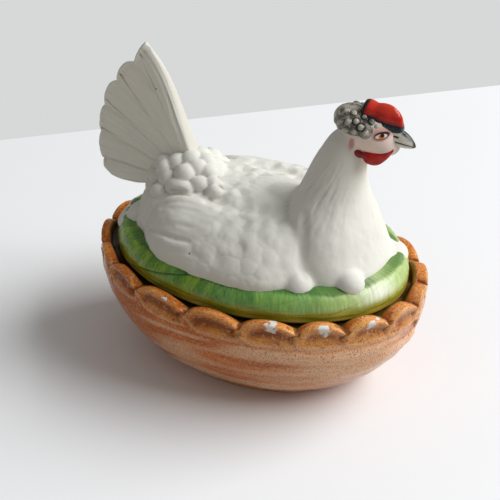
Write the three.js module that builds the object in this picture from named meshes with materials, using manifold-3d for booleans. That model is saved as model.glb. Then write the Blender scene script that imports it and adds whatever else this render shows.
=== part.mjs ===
// Hen on nest dish: an oval pottery basket, and the cover that drops into it, a hen on a ring of grass.
// Millimetres. The origin is the middle of the basket's foot, +X is the way the hen faces and +Z is up.
import * as THREE from "three";
import { mergeVertices } from "three/addons/utils/BufferGeometryUtils.js";
import Module from "manifold-3d";

const wasm = await Module();
wasm.setup();

// The basket
const BASKET_LENGTH = 220; // over the outsides of the border's lobes
const BASKET_WIDTH = 163;
const BASKET_HEIGHT = 75.5; // to the tops of the lobes
const FOOT_LENGTH = 136;
const FOOT_WIDTH = 99;
const FOOT_BEVEL = 1.5;
const BASKET_WALL = 6;
const BASKET_FLOOR = 8;
const BAND_COUNT = 5; // the woven bands between the foot and the border
const BAND_RELIEF = 1.4;
const BORDER_HEIGHT = 17; // the plaited border, from its lower line to the lobe tops
const BORDER_RELIEF = 1.5;
const SCOOP_DEPTH = 2.2; // the hollow in the face of each lobe
const LOBE_COUNT = 18;
const LOBE_RISE = 6; // a lobe's top above the notches beside it
const LOBE_THICKNESS = 8.5;

// The seat between basket and cover
const SEAT_DEPTH = 7; // the ledge's distance below the lobe tops
const SEAT_WIDTH = 6; // how far the ledge reaches in under the cover
const SEAT_CLEARANCE = 0.3; // between pieces that bear on each other
const END_GAP = 4.2; // from the cover's edge to the lobes, at the ends
const SIDE_GAP = 1.2; // and at the sides
const FLANGE_DEPTH = 7;
const FLANGE_THICKNESS = 4.5;
const FLANGE_CLEARANCE = 1.2;

// The ring of grass that the hen sits on
const EDGE_THICKNESS = 6; // of the cover's rounded edge
const GRASS_WIDTH = 8.5; // from the cover's edge to the hen, in plan
const GRASS_RISE = 13; // from the rounded edge to the hen
const GRASS_RELIEF = 0.9;
const BLADE_COUNT = 11; // the broad blades brushed up the ring
const COVER_WALL = 5;

// The hen's body and breast
const BACK_RISE = 32; // the back above the grass
const NECK_RISE = 72; // the throat above the grass
const BREAST_SETBACK = 0.6; // of the breast behind the edge of the hen's base
const NECK_BASE_RADIUS = 33;
const NECK_TOP_RADIUS = 12.8;
const WING_LENGTH = 118;
const WING_HEIGHT = 26; // above the grass
const WING_BULGE = 22;
const ROOT_RADIUS = 28; // the swell of the body that carries the tail
const COVERT_RADIUS = 7.2; // the round feathers over the tail's root
const TOE_RADIUS = 7.8;

// The head
const HEAD_LENGTH = 36;
const HEAD_WIDTH = 23.5;
const HEAD_HEIGHT = 25;
const CREST_LENGTH = 30;
const CREST_WIDTH = 27;
const CREST_HEIGHT = 18;
const CURL_RADIUS = 2.9; // the curls that stand out from the crest
const COMB_LENGTH = 25;
const COMB_WIDTH = 15;
const COMB_HEIGHT = 8.5;
const BEAK_LENGTH = 13.5;
const BEAK_DEPTH = 11;
const BEAK_WIDTH = 9;
const WATTLE_LENGTH = 25;
const WATTLE_DEPTH = 8.5;
const WATTLE_THICKNESS = 5;

// The tail, an upright fan of feathers spread from a centre inside the body
const TAIL_RISE = 17; // the fan's centre above the grass
const TAIL_LENGTH = 102; // from the fan's centre to the tip of its front feather
const TAIL_BACK_LENGTH = 75; // and to the tip of its lowest one
const TAIL_ROOT_LENGTH = 24; // from the centre to where the fan begins, inside the body
const TAIL_THICKNESS = 13; // at the front of the root
const TAIL_EDGE_THICKNESS = 4;
const FEATHER_RELIEF = 0.9;
const SCALLOP_DEPTH = 3.4; // of the notches between the feathers' tips

const OVERRUN = 2; // how far a cut runs past what it cuts

// Counts of facets
const OVAL_SEGMENTS = LOBE_COUNT * 5;
const COVER_SEGMENTS = 60;
const BODY_SEGMENTS = 32;
const HOLLOW_SEGMENTS = 20;

// Helpers: closed surfaces through rings of points, and solids made from them

const lerp = THREE.MathUtils.lerp;

function ring(segments, pointAt) {
  return Array.from({ length: segments }, (_, i) => pointAt((2 * Math.PI * i) / segments));
}

function oval({ a, b, z, x = 0 }, segments) {
  return ring(segments, (t) => new THREE.Vector3(x + a * Math.cos(t), b * Math.sin(t), z));
}

function centreOf(points) {
  return points.reduce((sum, p) => sum.add(p), new THREE.Vector3()).divideScalar(points.length);
}

function faceOutward(positions, index) {
  const corner = (i) => new THREE.Vector3().fromArray(positions, 3 * index[i]);
  let volume = 0;
  for (let i = 0; i < index.length; i += 3) {
    volume += corner(i).dot(corner(i + 1).cross(corner(i + 2)));
  }
  if (volume < 0) {
    for (let i = 0; i < index.length; i += 3) {
      [index[i + 1], index[i + 2]] = [index[i + 2], index[i + 1]];
    }
  }
}

// A closed skin over rings of points. A ring of one point closes an end, and a looped skin joins its last
// ring to its first, as a ring-shaped body does.
function skin(rings, looped = false) {
  const positions = [];
  const starts = rings.map((points) => {
    const start = positions.length / 3;
    points.forEach((p) => positions.push(p.x, p.y, p.z));
    return start;
  });
  const index = [];
  const spans = looped ? rings.length : rings.length - 1;
  for (let r = 0; r < spans; r++) {
    const s = (r + 1) % rings.length;
    const n = Math.max(rings[r].length, rings[s].length);
    for (let i = 0; i < n; i++) {
      const j = (i + 1) % n;
      const on = (at, k) => starts[at] + (rings[at].length > 1 ? k : 0);
      const [p, q, u, v] = [on(r, i), on(r, j), on(s, i), on(s, j)];
      if (p !== q) index.push(p, q, u);
      if (u !== v) index.push(q, v, u);
    }
  }
  faceOutward(positions, index);
  const geometry = new THREE.BufferGeometry();
  geometry.setAttribute("position", new THREE.Float32BufferAttribute(positions, 3));
  geometry.setIndex(index);
  return geometry;
}

function solid(geometry) {
  const bare = geometry.clone();
  bare.deleteAttribute("normal");
  bare.deleteAttribute("uv");
  const merged = mergeVertices(bare);
  return new wasm.Manifold(
    new wasm.Mesh({
      numProp: 3,
      vertProperties: merged.attributes.position.array,
      triVerts: new Uint32Array(merged.index.array),
    }),
  );
}

function geometryOf(manifold) {
  const mesh = manifold.getMesh();
  const geometry = new THREE.BufferGeometry();
  geometry.setAttribute("position", new THREE.Float32BufferAttribute(mesh.vertProperties, 3));
  geometry.setIndex(new THREE.Uint32BufferAttribute(mesh.triVerts, 1));
  return geometry;
}

function fuse(solids) {
  return solids.reduce((all, next) => all.add(next));
}

// An ellipsoid with its poles along X, tipped about Y.
function ellipsoid(centre, [rx, ry, rz], tilt = 0, segments = 20) {
  const geometry = new THREE.SphereGeometry(1, segments, Math.round(segments * 0.6));
  geometry.rotateZ(Math.PI / 2);
  geometry.scale(rx, ry, rz);
  geometry.rotateY(tilt);
  geometry.translate(centre.x, centre.y, centre.z);
  return solid(geometry);
}

// Places shared by the pieces

const basketTop = { a: BASKET_LENGTH / 2, b: BASKET_WIDTH / 2 };
const foot = { a: FOOT_LENGTH / 2, b: FOOT_WIDTH / 2 };
const seatZ = BASKET_HEIGHT - SEAT_DEPTH;
const cover = {
  a: basketTop.a - LOBE_THICKNESS - END_GAP,
  b: basketTop.b - LOBE_THICKNESS - SIDE_GAP,
  z: seatZ + SEAT_CLEARANCE,
};
const wellMouth = { a: cover.a - SEAT_WIDTH, b: cover.b - SEAT_WIDTH };
const grassTopZ = cover.z + EDGE_THICKNESS + GRASS_RISE;
const henBase = { a: cover.a - GRASS_WIDTH, b: cover.b - GRASS_WIDTH, z: grassTopZ + SEAT_CLEARANCE };
const neckTopX = henBase.a - BREAST_SETBACK - NECK_BASE_RADIUS;
const neckTopZ = henBase.z + NECK_RISE;
const headCentre = new THREE.Vector3(neckTopX + HEAD_LENGTH * 0.33, 0, neckTopZ + HEAD_HEIGHT * 0.46);

// The basket's outside at a share of the way from the foot to the border: a bowl that fills out quickly.
function wallOval(share) {
  const bulge = Math.sin((Math.PI / 2) * share ** 0.87);
  return { a: lerp(foot.a, basketTop.a, bulge), b: lerp(foot.b, basketTop.b, bulge) };
}

const grow = (o, by) => ({ ...o, a: o.a + by, b: o.b + by });

// One lobe of the border along its pitch: 0 in the notches and 1 at its top, leaning the way a plait runs.
function lobeAt(angle) {
  const pitch = (2 * Math.PI) / LOBE_COUNT;
  const along = (angle / pitch) % 1;
  const leant = along ** 0.9;
  return 1 - Math.abs(2 * leant - 1) ** 2.4;
}

// Each woven band rises from its valley to its crest: how far up the band and how far out, as shares.
const bandShares = [[0.12, 0], [0.55, 1]];

// The face of the border, as shares: how high, how deep in a lobe's hollow, how far back in the notches
// beside it, and how far in over the lobe's thickness.
const borderShares = [
  [0.06, 0, 0, 0],
  [0.2, 1, 0, 0],
  [0.5, 0.8, 0, 0],
  [0.72, 0, 0.8, 0],
  [0.87, 0, 1, 0],
  [0.97, 0, 1, 0.25],
  [1, 0, 0, 0.6],
];

// Behind the lobe: how high above the ledge, and how far in over the lobe's thickness.
const rimShares = [[0.8, 0.92], [0.3, 1]];

// Where the well's sides are measured on the way down from the ledge to the floor.
const wellShares = [0.7, 0.4, 0.15];

// The basket's outline in section at one angle: from under its foot, up the outside, over the lobe and
// down the well.
function basketStations() {
  const borderZ = BASKET_HEIGHT - BORDER_HEIGHT;
  const wallTopShare = borderZ / (BASKET_HEIGHT - SEAT_DEPTH);
  const stations = [
    () => ({ ...grow(foot, -FOOT_BEVEL), z: 0 }),
    () => ({ ...foot, z: FOOT_BEVEL }),
  ];
  for (let band = 0; band < BAND_COUNT; band++) {
    for (const [within, out] of bandShares) {
      const share = (wallTopShare * (band + within)) / BAND_COUNT;
      const z = lerp(FOOT_BEVEL, borderZ, (band + within) / BAND_COUNT);
      stations.push(() => ({ ...grow(wallOval(share), BAND_RELIEF * (out - 1)), z }));
    }
  }
  const lobeTop = (h) => BASKET_HEIGHT - LOBE_RISE * (1 - h);
  for (const [up, scoop, notch, over] of borderShares) {
    stations.push((h) => {
      const z = lerp(borderZ - LOBE_RISE * 0.5 * h, lobeTop(h), up);
      const inset = SCOOP_DEPTH * scoop * h + BORDER_RELIEF * notch * (1 - h) + LOBE_THICKNESS * over;
      return { ...grow(wallOval(Math.min(1, z / seatZ)), -inset), z };
    });
  }
  for (const [up, over] of rimShares) {
    stations.push((h) => ({ ...grow(basketTop, -LOBE_THICKNESS * over), z: lerp(seatZ, lobeTop(h), up) }));
  }
  stations.push(
    () => ({ ...grow(basketTop, -LOBE_THICKNESS), z: seatZ }),
    () => ({ ...wellMouth, z: seatZ }),
  );
  for (const share of wellShares) {
    const inside = grow(wallOval(share), -BASKET_WALL);
    const z = lerp(BASKET_FLOOR, seatZ, share);
    stations.push(() => ({ a: Math.min(inside.a, wellMouth.a), b: Math.min(inside.b, wellMouth.b), z }));
  }
  const floor = grow(foot, -BASKET_WALL);
  stations.push(() => ({ ...floor, z: BASKET_FLOOR }));
  return stations;
}

function basket() {
  const rings = basketStations().map((station) =>
    ring(OVAL_SEGMENTS, (t) => {
      const { a, b, z } = station(lobeAt(t));
      return new THREE.Vector3(a * Math.cos(t), b * Math.sin(t), z);
    }),
  );
  return skin([[new THREE.Vector3()], ...rings, [new THREE.Vector3(0, 0, BASKET_FLOOR)]]);
}

// The dome of the grass ring, from the cover's rounded edge up to the hen. Grown, it cuts what overhangs it.
function grassDome(clearance) {
  const springZ = cover.z + EDGE_THICKNESS;
  const steps = 5;
  return Array.from({ length: steps + 1 }, (_, i) => {
    const turn = (Math.PI / 2) * (i / steps);
    const inset = GRASS_WIDTH * (1 - Math.cos(turn));
    return { ...grow(cover, -inset + clearance), z: springZ + GRASS_RISE * Math.sin(turn) + clearance };
  });
}

function nestCover() {
  const blade = (t) => GRASS_RELIEF * Math.abs(Math.sin((t * BLADE_COUNT) / 2));
  const flange = grow(wellMouth, -FLANGE_CLEARANCE);
  const outline = [
    { ...grow(flange, -FLANGE_THICKNESS), z: seatZ - FLANGE_DEPTH },
    { ...flange, z: seatZ - FLANGE_DEPTH },
    { ...flange, z: cover.z },
    { ...grow(cover, -EDGE_THICKNESS * 0.5), z: cover.z },
    { ...grow(cover, -EDGE_THICKNESS * 0.1), z: cover.z + EDGE_THICKNESS * 0.3 },
    { ...cover, z: cover.z + EDGE_THICKNESS * 0.7 },
    ...grassDome(0),
    { ...grow(henBase, -COVER_WALL * 1.6), z: grassTopZ },
    { ...grow(henBase, -COVER_WALL * 1.6), z: grassTopZ - COVER_WALL },
    { ...grow(flange, -FLANGE_THICKNESS), z: cover.z + COVER_WALL * 0.5 },
  ];
  const domeFrom = 6;
  const domeTo = domeFrom + 3;
  const rings = outline.map((o, i) => {
    const carved = i >= domeFrom && i <= domeTo;
    return ring(COVER_SEGMENTS, (t) => {
      const depth = carved ? blade(t + i * 0.35) : 0;
      return new THREE.Vector3((o.a - depth) * Math.cos(t), (o.b - depth) * Math.sin(t), o.z);
    });
  });
  return skin(rings, true);
}

// The hen's trunk: ovals stacked up from the grass, each a share of the base and of the back's height.
const trunkShares = [
  // height, length, width, forward
  [0, 0.94, 0.93, -0.005],
  [0.2, 0.91, 0.89, -0.02],
  [0.45, 0.86, 0.79, -0.035],
  [0.66, 0.79, 0.67, -0.04],
  [0.82, 0.7, 0.52, -0.05],
  [0.93, 0.6, 0.34, -0.06],
  [0.985, 0.48, 0.17, -0.07],
];

// Every piece of the hen starts below the grass, which then trims it to the hem.
function trunk(inset, segments) {
  const rings = trunkShares.map(([height, length, width, forward], i) =>
    oval(
      {
        a: henBase.a * length - inset,
        b: Math.max(henBase.b * width - inset, inset / 2),
        x: henBase.a * forward,
        z: henBase.z + (i === 0 ? -OVERRUN : BACK_RISE * height - inset),
      },
      segments,
    ),
  );
  return solid(skin([[centreOf(rings[0])], ...rings, [centreOf(rings.at(-1))]]));
}

// The breast and neck: ovals stacked up from the grass to the throat.
const neckShares = [
  // height, how far the axis leans back, how full the section is, how broad for its length
  [0, 0.035, 0.93, 1.34],
  [0.14, 0.05, 0.72, 1.5],
  [0.3, 0.078, 0.63, 1.42],
  [0.46, 0.1, 0.52, 1.24],
  [0.6, 0.108, 0.39, 1.12],
  [0.72, 0.097, 0.29, 1.05],
  [0.84, 0.068, 0.16, 1],
  [0.95, 0.035, 0.04, 1],
  [1.06, 0.005, -0.07, 1],
  [1.13, -0.02, -0.22, 1],
];

function neck(inset, segments) {
  const rings = neckShares.map(([height, back, full, broad], i) => {
    const radius = lerp(NECK_TOP_RADIUS, NECK_BASE_RADIUS, full) - inset;
    return oval(
      {
        a: radius,
        b: radius * broad,
        x: neckTopX - NECK_RISE * back,
        z: henBase.z + (i === 0 ? -OVERRUN : NECK_RISE * height - inset),
      },
      segments,
    );
  });
  return solid(skin([[centreOf(rings[0])], ...rings, [centreOf(rings.at(-1))]]));
}

// One folded wing on the hen's side: a long leaf that leans in over the back, blunt at the shoulder and
// rounded off at the rear.
const wingRiseShare = 0.3; // of its length, from its rear end to its full height
const wingFallShare = 0.28; // and from there down to the breast

function wing(side) {
  const stations = 11;
  const rearX = -henBase.a * 0.74;
  const place = (along) => {
    const x = rearX + WING_LENGTH * along;
    const outside = henBase.b * 1.085 * Math.sqrt(1 - (x / (henBase.a * 1.03)) ** 2);
    return { x, y: outside - WING_BULGE, z: henBase.z + WING_HEIGHT * 0.1 };
  };
  const end = (along) => {
    const { x, y, z } = place(along);
    return [new THREE.Vector3(x, side * y, z)];
  };
  const rings = Array.from({ length: stations - 1 }, (_, i) => {
    const along = (1 - Math.cos((Math.PI * (i + 1)) / stations)) / 2;
    const short = Math.max(0, 1 - along / wingRiseShare, 1 - (1 - along) / wingFallShare);
    const full = Math.sqrt(1 - short ** 2);
    const { x, y, z } = place(along);
    return ring(16, (t) => {
      const up = Math.sin(t) * WING_HEIGHT * full;
      const lean = Math.max(0, Math.sin(t)) * 0.6;
      const out = (Math.cos(t) - lean) * WING_BULGE * full;
      return new THREE.Vector3(x, side * (y + out), z + up);
    });
  });
  return solid(skin([end(0), ...rings, end(1)]));
}

// The fan of the tail stands in the plane of the hen's back. Its angles turn from the way the hen faces.
const fanCentre = new THREE.Vector3(-henBase.a * 0.43, 0, henBase.z + TAIL_RISE);
const fanFront = THREE.MathUtils.degToRad(110);
const fanBack = THREE.MathUtils.degToRad(188);
const fanCurl = THREE.MathUtils.degToRad(5.5); // how far the front feather's tip sweeps back
const notchShares = [0, 0.116, 0.28, 0.445, 0.61, 0.77, 1]; // where the feathers' tips meet round the fan
const featherSteps = 4;
const radialShares = [0, 0.3, 0.55, 0.75, 0.9, 0.97, 1]; // from the fan's root out to the feathers' tips
const lowFeatherShare = 0.9; // where round the fan its lowest feather begins to shorten
const lowFeatherLossShare = 0.3; // of its length, at the fan's end

function fanStops() {
  const stops = [];
  for (let i = 1; i < notchShares.length; i++) {
    for (let step = 0; step < featherSteps; step++) {
      const within = lerp(0.02, 0.98, step / (featherSteps - 1));
      stops.push({ turn: lerp(notchShares[i - 1], notchShares[i], within), within, first: i === 1 });
    }
  }
  return stops;
}

// One radial slice of the fan, up its left face and down its right one. A grown slice cuts the fan's socket.
function fanSlice({ turn, within, first }, clearance) {
  const cusp = first ? within : Math.abs(2 * within - 1);
  const low = Math.max(0, turn - lowFeatherShare) / (1 - lowFeatherShare);
  const drop = TAIL_BACK_LENGTH * lowFeatherLossShare * low;
  const full = lerp(TAIL_LENGTH, TAIL_BACK_LENGTH, turn) - SCALLOP_DEPTH * cusp ** 2.5 - drop + clearance;
  const root = TAIL_ROOT_LENGTH - clearance;
  const thick = lerp(TAIL_THICKNESS, TAIL_EDGE_THICKNESS * 1.3, Math.max(0, turn) ** 0.6) / 2;
  const side = radialShares.map((out) => {
    const angle = lerp(fanFront + fanCurl * out ** 4, fanBack, turn);
    const radius = lerp(root, full, out);
    const relief = FEATHER_RELIEF * (within - 1) * Math.min(1, out * 3);
    const half = lerp(thick, TAIL_EDGE_THICKNESS / 2, out ** 1.4) + relief * 0.5;
    const rounded = out === 1 ? half * 0.45 : half;
    return { radius, angle, half: rounded + clearance };
  });
  const place = ({ radius, angle, half }, hand) =>
    new THREE.Vector3(
      fanCentre.x + radius * Math.cos(angle),
      hand * half,
      fanCentre.z + radius * Math.sin(angle),
    );
  return [...side.map((s) => place(s, 1)), ...side.reverse().map((s) => place(s, -1))];
}

function tail(clearance) {
  const stops = fanStops();
  if (clearance) {
    stops.unshift({ ...stops[0], turn: -0.01 });
    stops.push({ ...stops.at(-1), turn: 1.01 });
  }
  const slices = stops.map((stop) => fanSlice(stop, clearance));
  return solid(skin([[centreOf(slices[0])], ...slices, [centreOf(slices.at(-1))]]));
}

// The swell that carries the tail, and the round feathers that cover it in rows round the tail's root.
const covertRows = [
  // degrees out from the hen's middle plane, the row's first and last feathers round the swell, how many
  [19, 56, 192, 7],
  [42, 48, 186, 6],
  [64, 34, 180, 4],
];

function tailRoot() {
  const swell = new THREE.Vector3(-henBase.a * 0.54, 0, fanCentre.z - ROOT_RADIUS * 0.1);
  const radii = new THREE.Vector3(ROOT_RADIUS, ROOT_RADIUS * 0.84, ROOT_RADIUS);
  const made = [ellipsoid(swell, radii.toArray(), 0, 16)];
  for (const [out, first, last, count] of covertRows) {
    for (let i = 0; i < count; i++) {
      const turn = THREE.MathUtils.degToRad(lerp(first, last, i / (count - 1)));
      const tilt = THREE.MathUtils.degToRad(out);
      for (const side of [-1, 1]) {
        const centre = new THREE.Vector3(
          Math.cos(tilt) * Math.cos(turn),
          side * Math.sin(tilt),
          Math.cos(tilt) * Math.sin(turn),
        );
        centre.multiply(radii).add(swell);
        made.push(ellipsoid(centre, Array(3).fill(COVERT_RADIUS), 0, 8));
      }
    }
  }
  return fuse(made);
}

// The toes at the hem of the breast, as shares of the base: the right foot is a step ahead of the left.
const toeShares = [
  [0.55, -0.74],
  [0.85, -0.48],
  [0.3, 0.9],
  [0.57, 0.74],
];

function toes() {
  return fuse(
    toeShares.map(([forward, out]) => {
      const centre = new THREE.Vector3(henBase.a * forward, henBase.b * out, henBase.z + TOE_RADIUS * 0.35);
      return ellipsoid(centre, [TOE_RADIUS, TOE_RADIUS, TOE_RADIUS * 1.1], 0, 10);
    }),
  );
}

const headRadii = (clearance) => [
  HEAD_LENGTH / 2 + clearance,
  HEAD_WIDTH / 2 + clearance,
  HEAD_HEIGHT / 2 + clearance,
];
const head = (clearance) => ellipsoid(headCentre, headRadii(clearance), 0.25, 16);

function grassCutter() {
  const dome = grassDome(SEAT_CLEARANCE);
  const below = { ...grow(dome[0], OVERRUN), z: seatZ };
  const rings = [below, ...dome].map((o) => oval(o, COVER_SEGMENTS));
  const capZ = dome.at(-1).z;
  return solid(skin([[new THREE.Vector3(0, 0, seatZ)], ...rings, [new THREE.Vector3(0, 0, capZ)]]));
}

function henBody() {
  const bulk = trunk(0, BODY_SEGMENTS).add(neck(0, BODY_SEGMENTS));
  const outside = fuse([bulk, wing(-1), wing(1), tailRoot(), toes(), head(0)]);
  const inNeck = neck(COVER_WALL, HOLLOW_SEGMENTS).subtract(aboveNeck());
  const hollow = trunk(COVER_WALL, HOLLOW_SEGMENTS).add(inNeck);
  return outside.subtract(hollow).subtract(tail(SEAT_CLEARANCE)).subtract(grassCutter());
}

// The neck's hollow stops below the throat, as slip-cast ware thickens there.
function aboveNeck() {
  const side = 2 * BASKET_LENGTH;
  const block = new THREE.BoxGeometry(side, side, side);
  block.translate(0, 0, neckTopZ - NECK_TOP_RADIUS + side / 2);
  return solid(block);
}

// A place on the head, from its centre, in shares of the head's length and height.
function onHead(forward, up, y = 0) {
  return new THREE.Vector3(headCentre.x + HEAD_LENGTH * forward, y, headCentre.z + HEAD_HEIGHT * up);
}

// The crest's rows of curls: where each row lies, as a share of half the crest's length, and its curls.
const curlRows = [
  { alongShare: -0.62, count: 3 },
  { alongShare: -0.05, count: 5 },
  { alongShare: 0.5, count: 5 },
];

// The crest of curled feathers round the back of the head.
function crestShape(clearance) {
  const centre = onHead(-0.18, 0.13);
  const radii = [CREST_LENGTH / 2, CREST_WIDTH / 2, CREST_HEIGHT / 2].map((r) => r + clearance);
  const made = [ellipsoid(centre, radii, 0.25, 14)];
  for (const { alongShare, count } of curlRows) {
    const rim = Math.sqrt(1 - alongShare ** 2) * 0.8;
    for (let i = 0; i < count; i++) {
      const around = lerp(-0.05, 1.05, (i + 0.5) / count) * Math.PI;
      const curl = new THREE.Vector3(
        centre.x + (alongShare * CREST_LENGTH) / 2,
        (Math.cos(around) * rim * CREST_WIDTH) / 2,
        centre.z + (Math.sin(around) * rim - alongShare * 0.25) * (CREST_HEIGHT / 2),
      );
      made.push(ellipsoid(curl, Array(3).fill(CURL_RADIUS + clearance), 0, 8));
    }
  }
  return fuse(made);
}

// The comb: a fleshy cap, deepest at its back and drawn out to a point over the beak.
const combShares = [
  // along, width, crown above its base line
  [0, 0.55, 0.5],
  [0.06, 0.8, 0.86],
  [0.18, 1, 1],
  [0.34, 0.96, 0.92],
  [0.5, 1, 0.98],
  [0.66, 0.86, 0.88],
  [0.82, 0.6, 0.66],
  [0.94, 0.38, 0.4],
  [1, 0.2, 0.2],
];

function combShape(clearance) {
  const back = onHead(-0.14, 0.46);
  const front = onHead(0.56, 0.2);
  const rings = combShares.map(([along, width, crown]) => {
    const base = back.clone().lerp(front, along);
    base.x = back.x + COMB_LENGTH * along + clearance * (2 * along - 1);
    return ring(12, (t) => {
      const up = Math.sin(t) * COMB_HEIGHT * crown * (Math.sin(t) > 0 ? 1 : 0.45);
      const out = Math.cos(t) * (COMB_WIDTH / 2) * width;
      const grown = (size) => size + Math.sign(size) * clearance;
      return new THREE.Vector3(base.x, grown(out), base.z + grown(up));
    });
  });
  return solid(skin([[centreOf(rings[0])], ...rings, [centreOf(rings.at(-1))]]));
}

// The beak: a short horn, hooked down to its tip.
const beakShares = [0, 0.3, 0.58, 0.8, 0.95];

function beakShape() {
  const base = onHead(0.4, 0);
  const rings = beakShares.map((along) => {
    const taper = (1 - along ** 2.2) ** 0.7;
    return ring(12, (t) =>
      new THREE.Vector3(
        base.x + BEAK_LENGTH * along,
        Math.cos(t) * (BEAK_WIDTH / 2) * taper,
        base.z - BEAK_DEPTH * 0.3 * along ** 2 + Math.sin(t) * (BEAK_DEPTH / 2) * taper,
      ),
    );
  });
  const tip = new THREE.Vector3(base.x + BEAK_LENGTH, 0, base.z - BEAK_DEPTH * 0.34);
  return solid(skin([[base.clone()], ...rings, [tip]]));
}

// A wattle: a fleshy crescent slung under one cheek, deepest towards the beak.
const wattleShares = [0.08, 0.2, 0.32, 0.42, 0.54, 0.68, 0.84, 0.96];

function wattleShape(side) {
  const y = side * HEAD_WIDTH * 0.33;
  const back = onHead(-0.26, -0.42, y);
  const front = onHead(0.5, -0.3, side * HEAD_WIDTH * 0.2);
  const place = (along) => {
    const at = back.clone().lerp(front, along);
    at.x = lerp(back.x, back.x + WATTLE_LENGTH, along);
    at.z -= WATTLE_DEPTH * 0.58 * Math.sin(Math.PI * along ** 1.1);
    return at;
  };
  const rings = wattleShares.map((along) => {
    const lobed = Math.sin(Math.PI * along ** 1.25) ** 0.6 - 0.22 * Math.exp(-(((along - 0.34) / 0.08) ** 2));
    const at = place(along);
    return ring(10, (t) =>
      new THREE.Vector3(
        at.x,
        at.y + Math.cos(t) * (WATTLE_THICKNESS / 2) * lobed,
        at.z + Math.sin(t) * (WATTLE_DEPTH / 2) * lobed,
      ),
    );
  });
  return solid(skin([[place(0)], ...rings, [place(1)]]));
}

// Finishes

const glaze = (color, roughness = 0.25) => new THREE.MeshStandardMaterial({ color, roughness, metalness: 0 });
const BASKET_GLAZE = glaze("#b8713c");
const GRASS_GLAZE = glaze("#6f9a4c");
const BISQUE = glaze("#dedbd2", 0.75);
const CREST_ENAMEL = glaze("#8b8980", 0.35);
const RED_ENAMEL = glaze("#b3180c", 0.2);
const BEAK_ENAMEL = glaze("#8d8d84", 0.35);

const part = new THREE.Group();

function add(name, geometry, material) {
  const mesh = new THREE.Mesh(geometry, material);
  mesh.name = name;
  part.add(mesh);
}

const largest = (manifold) => manifold.decompose().reduce((a, b) => (a.volume() > b.volume() ? a : b));
const headCut = head(SEAT_CLEARANCE).add(neck(-SEAT_CLEARANCE, BODY_SEGMENTS));
const crest = crestShape(0).subtract(headCut);
const comb = combShape(0).subtract(headCut).subtract(crestShape(SEAT_CLEARANCE));
const beak = beakShape().subtract(headCut).subtract(combShape(SEAT_CLEARANCE));

add("basket", basket(), BASKET_GLAZE);
add("nest_cover", nestCover(), GRASS_GLAZE);
add("hen_body", geometryOf(largest(henBody())), BISQUE);
add("tail_fan", geometryOf(tail(0).subtract(grassCutter())), BISQUE);
add("head_crest", geometryOf(largest(crest)), CREST_ENAMEL);
add("comb", geometryOf(largest(comb)), RED_ENAMEL);
add("beak", geometryOf(largest(beak)), BEAK_ENAMEL);
for (const [name, side] of [["right_wattle", -1], ["left_wattle", 1]]) {
  add(name, geometryOf(largest(wattleShape(side).subtract(headCut))), RED_ENAMEL);
}

export default part;
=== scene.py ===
"""Hen on nest dish: a glazed basket, a ring of grass and a bisque hen, built round the fixed CAD frame.

Sizes in the making are millimetres in the part's own frame: the origin is the middle of the basket's foot,
+X is the way the hen faces, +Y is its left and +Z is up.
"""
import math

import bpy
import numpy as np
from mathutils import Matrix, Vector


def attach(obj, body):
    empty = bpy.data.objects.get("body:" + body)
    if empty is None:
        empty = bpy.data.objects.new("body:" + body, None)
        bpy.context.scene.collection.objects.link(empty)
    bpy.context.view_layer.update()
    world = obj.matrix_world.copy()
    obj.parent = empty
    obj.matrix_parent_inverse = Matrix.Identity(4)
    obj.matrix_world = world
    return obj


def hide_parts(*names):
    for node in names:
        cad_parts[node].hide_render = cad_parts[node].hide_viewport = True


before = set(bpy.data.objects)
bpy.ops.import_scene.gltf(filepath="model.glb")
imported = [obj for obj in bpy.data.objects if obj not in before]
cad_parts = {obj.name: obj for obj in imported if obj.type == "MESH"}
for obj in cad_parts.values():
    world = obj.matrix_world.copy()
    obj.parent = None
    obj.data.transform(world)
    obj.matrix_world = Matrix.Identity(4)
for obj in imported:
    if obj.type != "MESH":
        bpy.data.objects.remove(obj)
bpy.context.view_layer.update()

MM = 0.001
TAU = 2 * math.pi


# Helpers: smooth noise over arrays of points

def lattice(cell, seed):
    """A repeatable number from 0 to 1 for each whole-numbered cell."""
    x, y, z = (cell[..., k].astype(np.uint64) for k in range(3))
    h = x * np.uint64(73856093) ^ y * np.uint64(19349663) ^ z * np.uint64(83492791)
    h = (h ^ np.uint64(seed * 7919 + 17)) * np.uint64(2654435761)
    h = (h ^ (h >> np.uint64(15))) * np.uint64(2246822519)
    h = h ^ (h >> np.uint64(13))
    return (h & np.uint64(0xFFFF)).astype(float) / 0xFFFF


def noise(points, size, seed=0):
    """Smooth noise from -1 to 1 whose features are about `size` millimetres."""
    p = np.asarray(points, float) / size + 512.0
    cell = np.floor(p)
    f = p - cell
    f = f * f * (3 - 2 * f)
    total = np.zeros(p.shape[:-1])
    for dx in (0, 1):
        for dy in (0, 1):
            for dz in (0, 1):
                weight = np.ones(p.shape[:-1])
                for k, d in enumerate((dx, dy, dz)):
                    weight = weight * (f[..., k] if d else 1 - f[..., k])
                total += weight * lattice(cell + (dx, dy, dz), seed)
    return 2 * total - 1


def lumps(points, size, seed=0):
    """Rounded cells about `size` millimetres across: 1 in the middle of each and 0 where they meet."""
    p = np.asarray(points, float) / size + 512.0
    cell = np.floor(p)
    nearest = np.full(p.shape[:-1], 9.0)
    for dx in (-1, 0, 1):
        for dy in (-1, 0, 1):
            for dz in (-1, 0, 1):
                at = cell + (dx, dy, dz)
                jitter = np.stack([lattice(at, seed + k) for k in range(3)], -1)
                nearest = np.minimum(nearest, np.linalg.norm(at + 0.15 + 0.7 * jitter - p, axis=-1))
    return np.clip(1 - (nearest / 0.75) ** 2, 0, 1)


def ease(low, high, value):
    """0 below low, 1 above high, and smooth between them."""
    t = np.clip((value - low) / (high - low), 0, 1)
    return t * t * (3 - 2 * t)


def fall(low, high, value):
    """1 below low, 0 above high, and smooth between them."""
    return 1 - ease(low, high, value)


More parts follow.
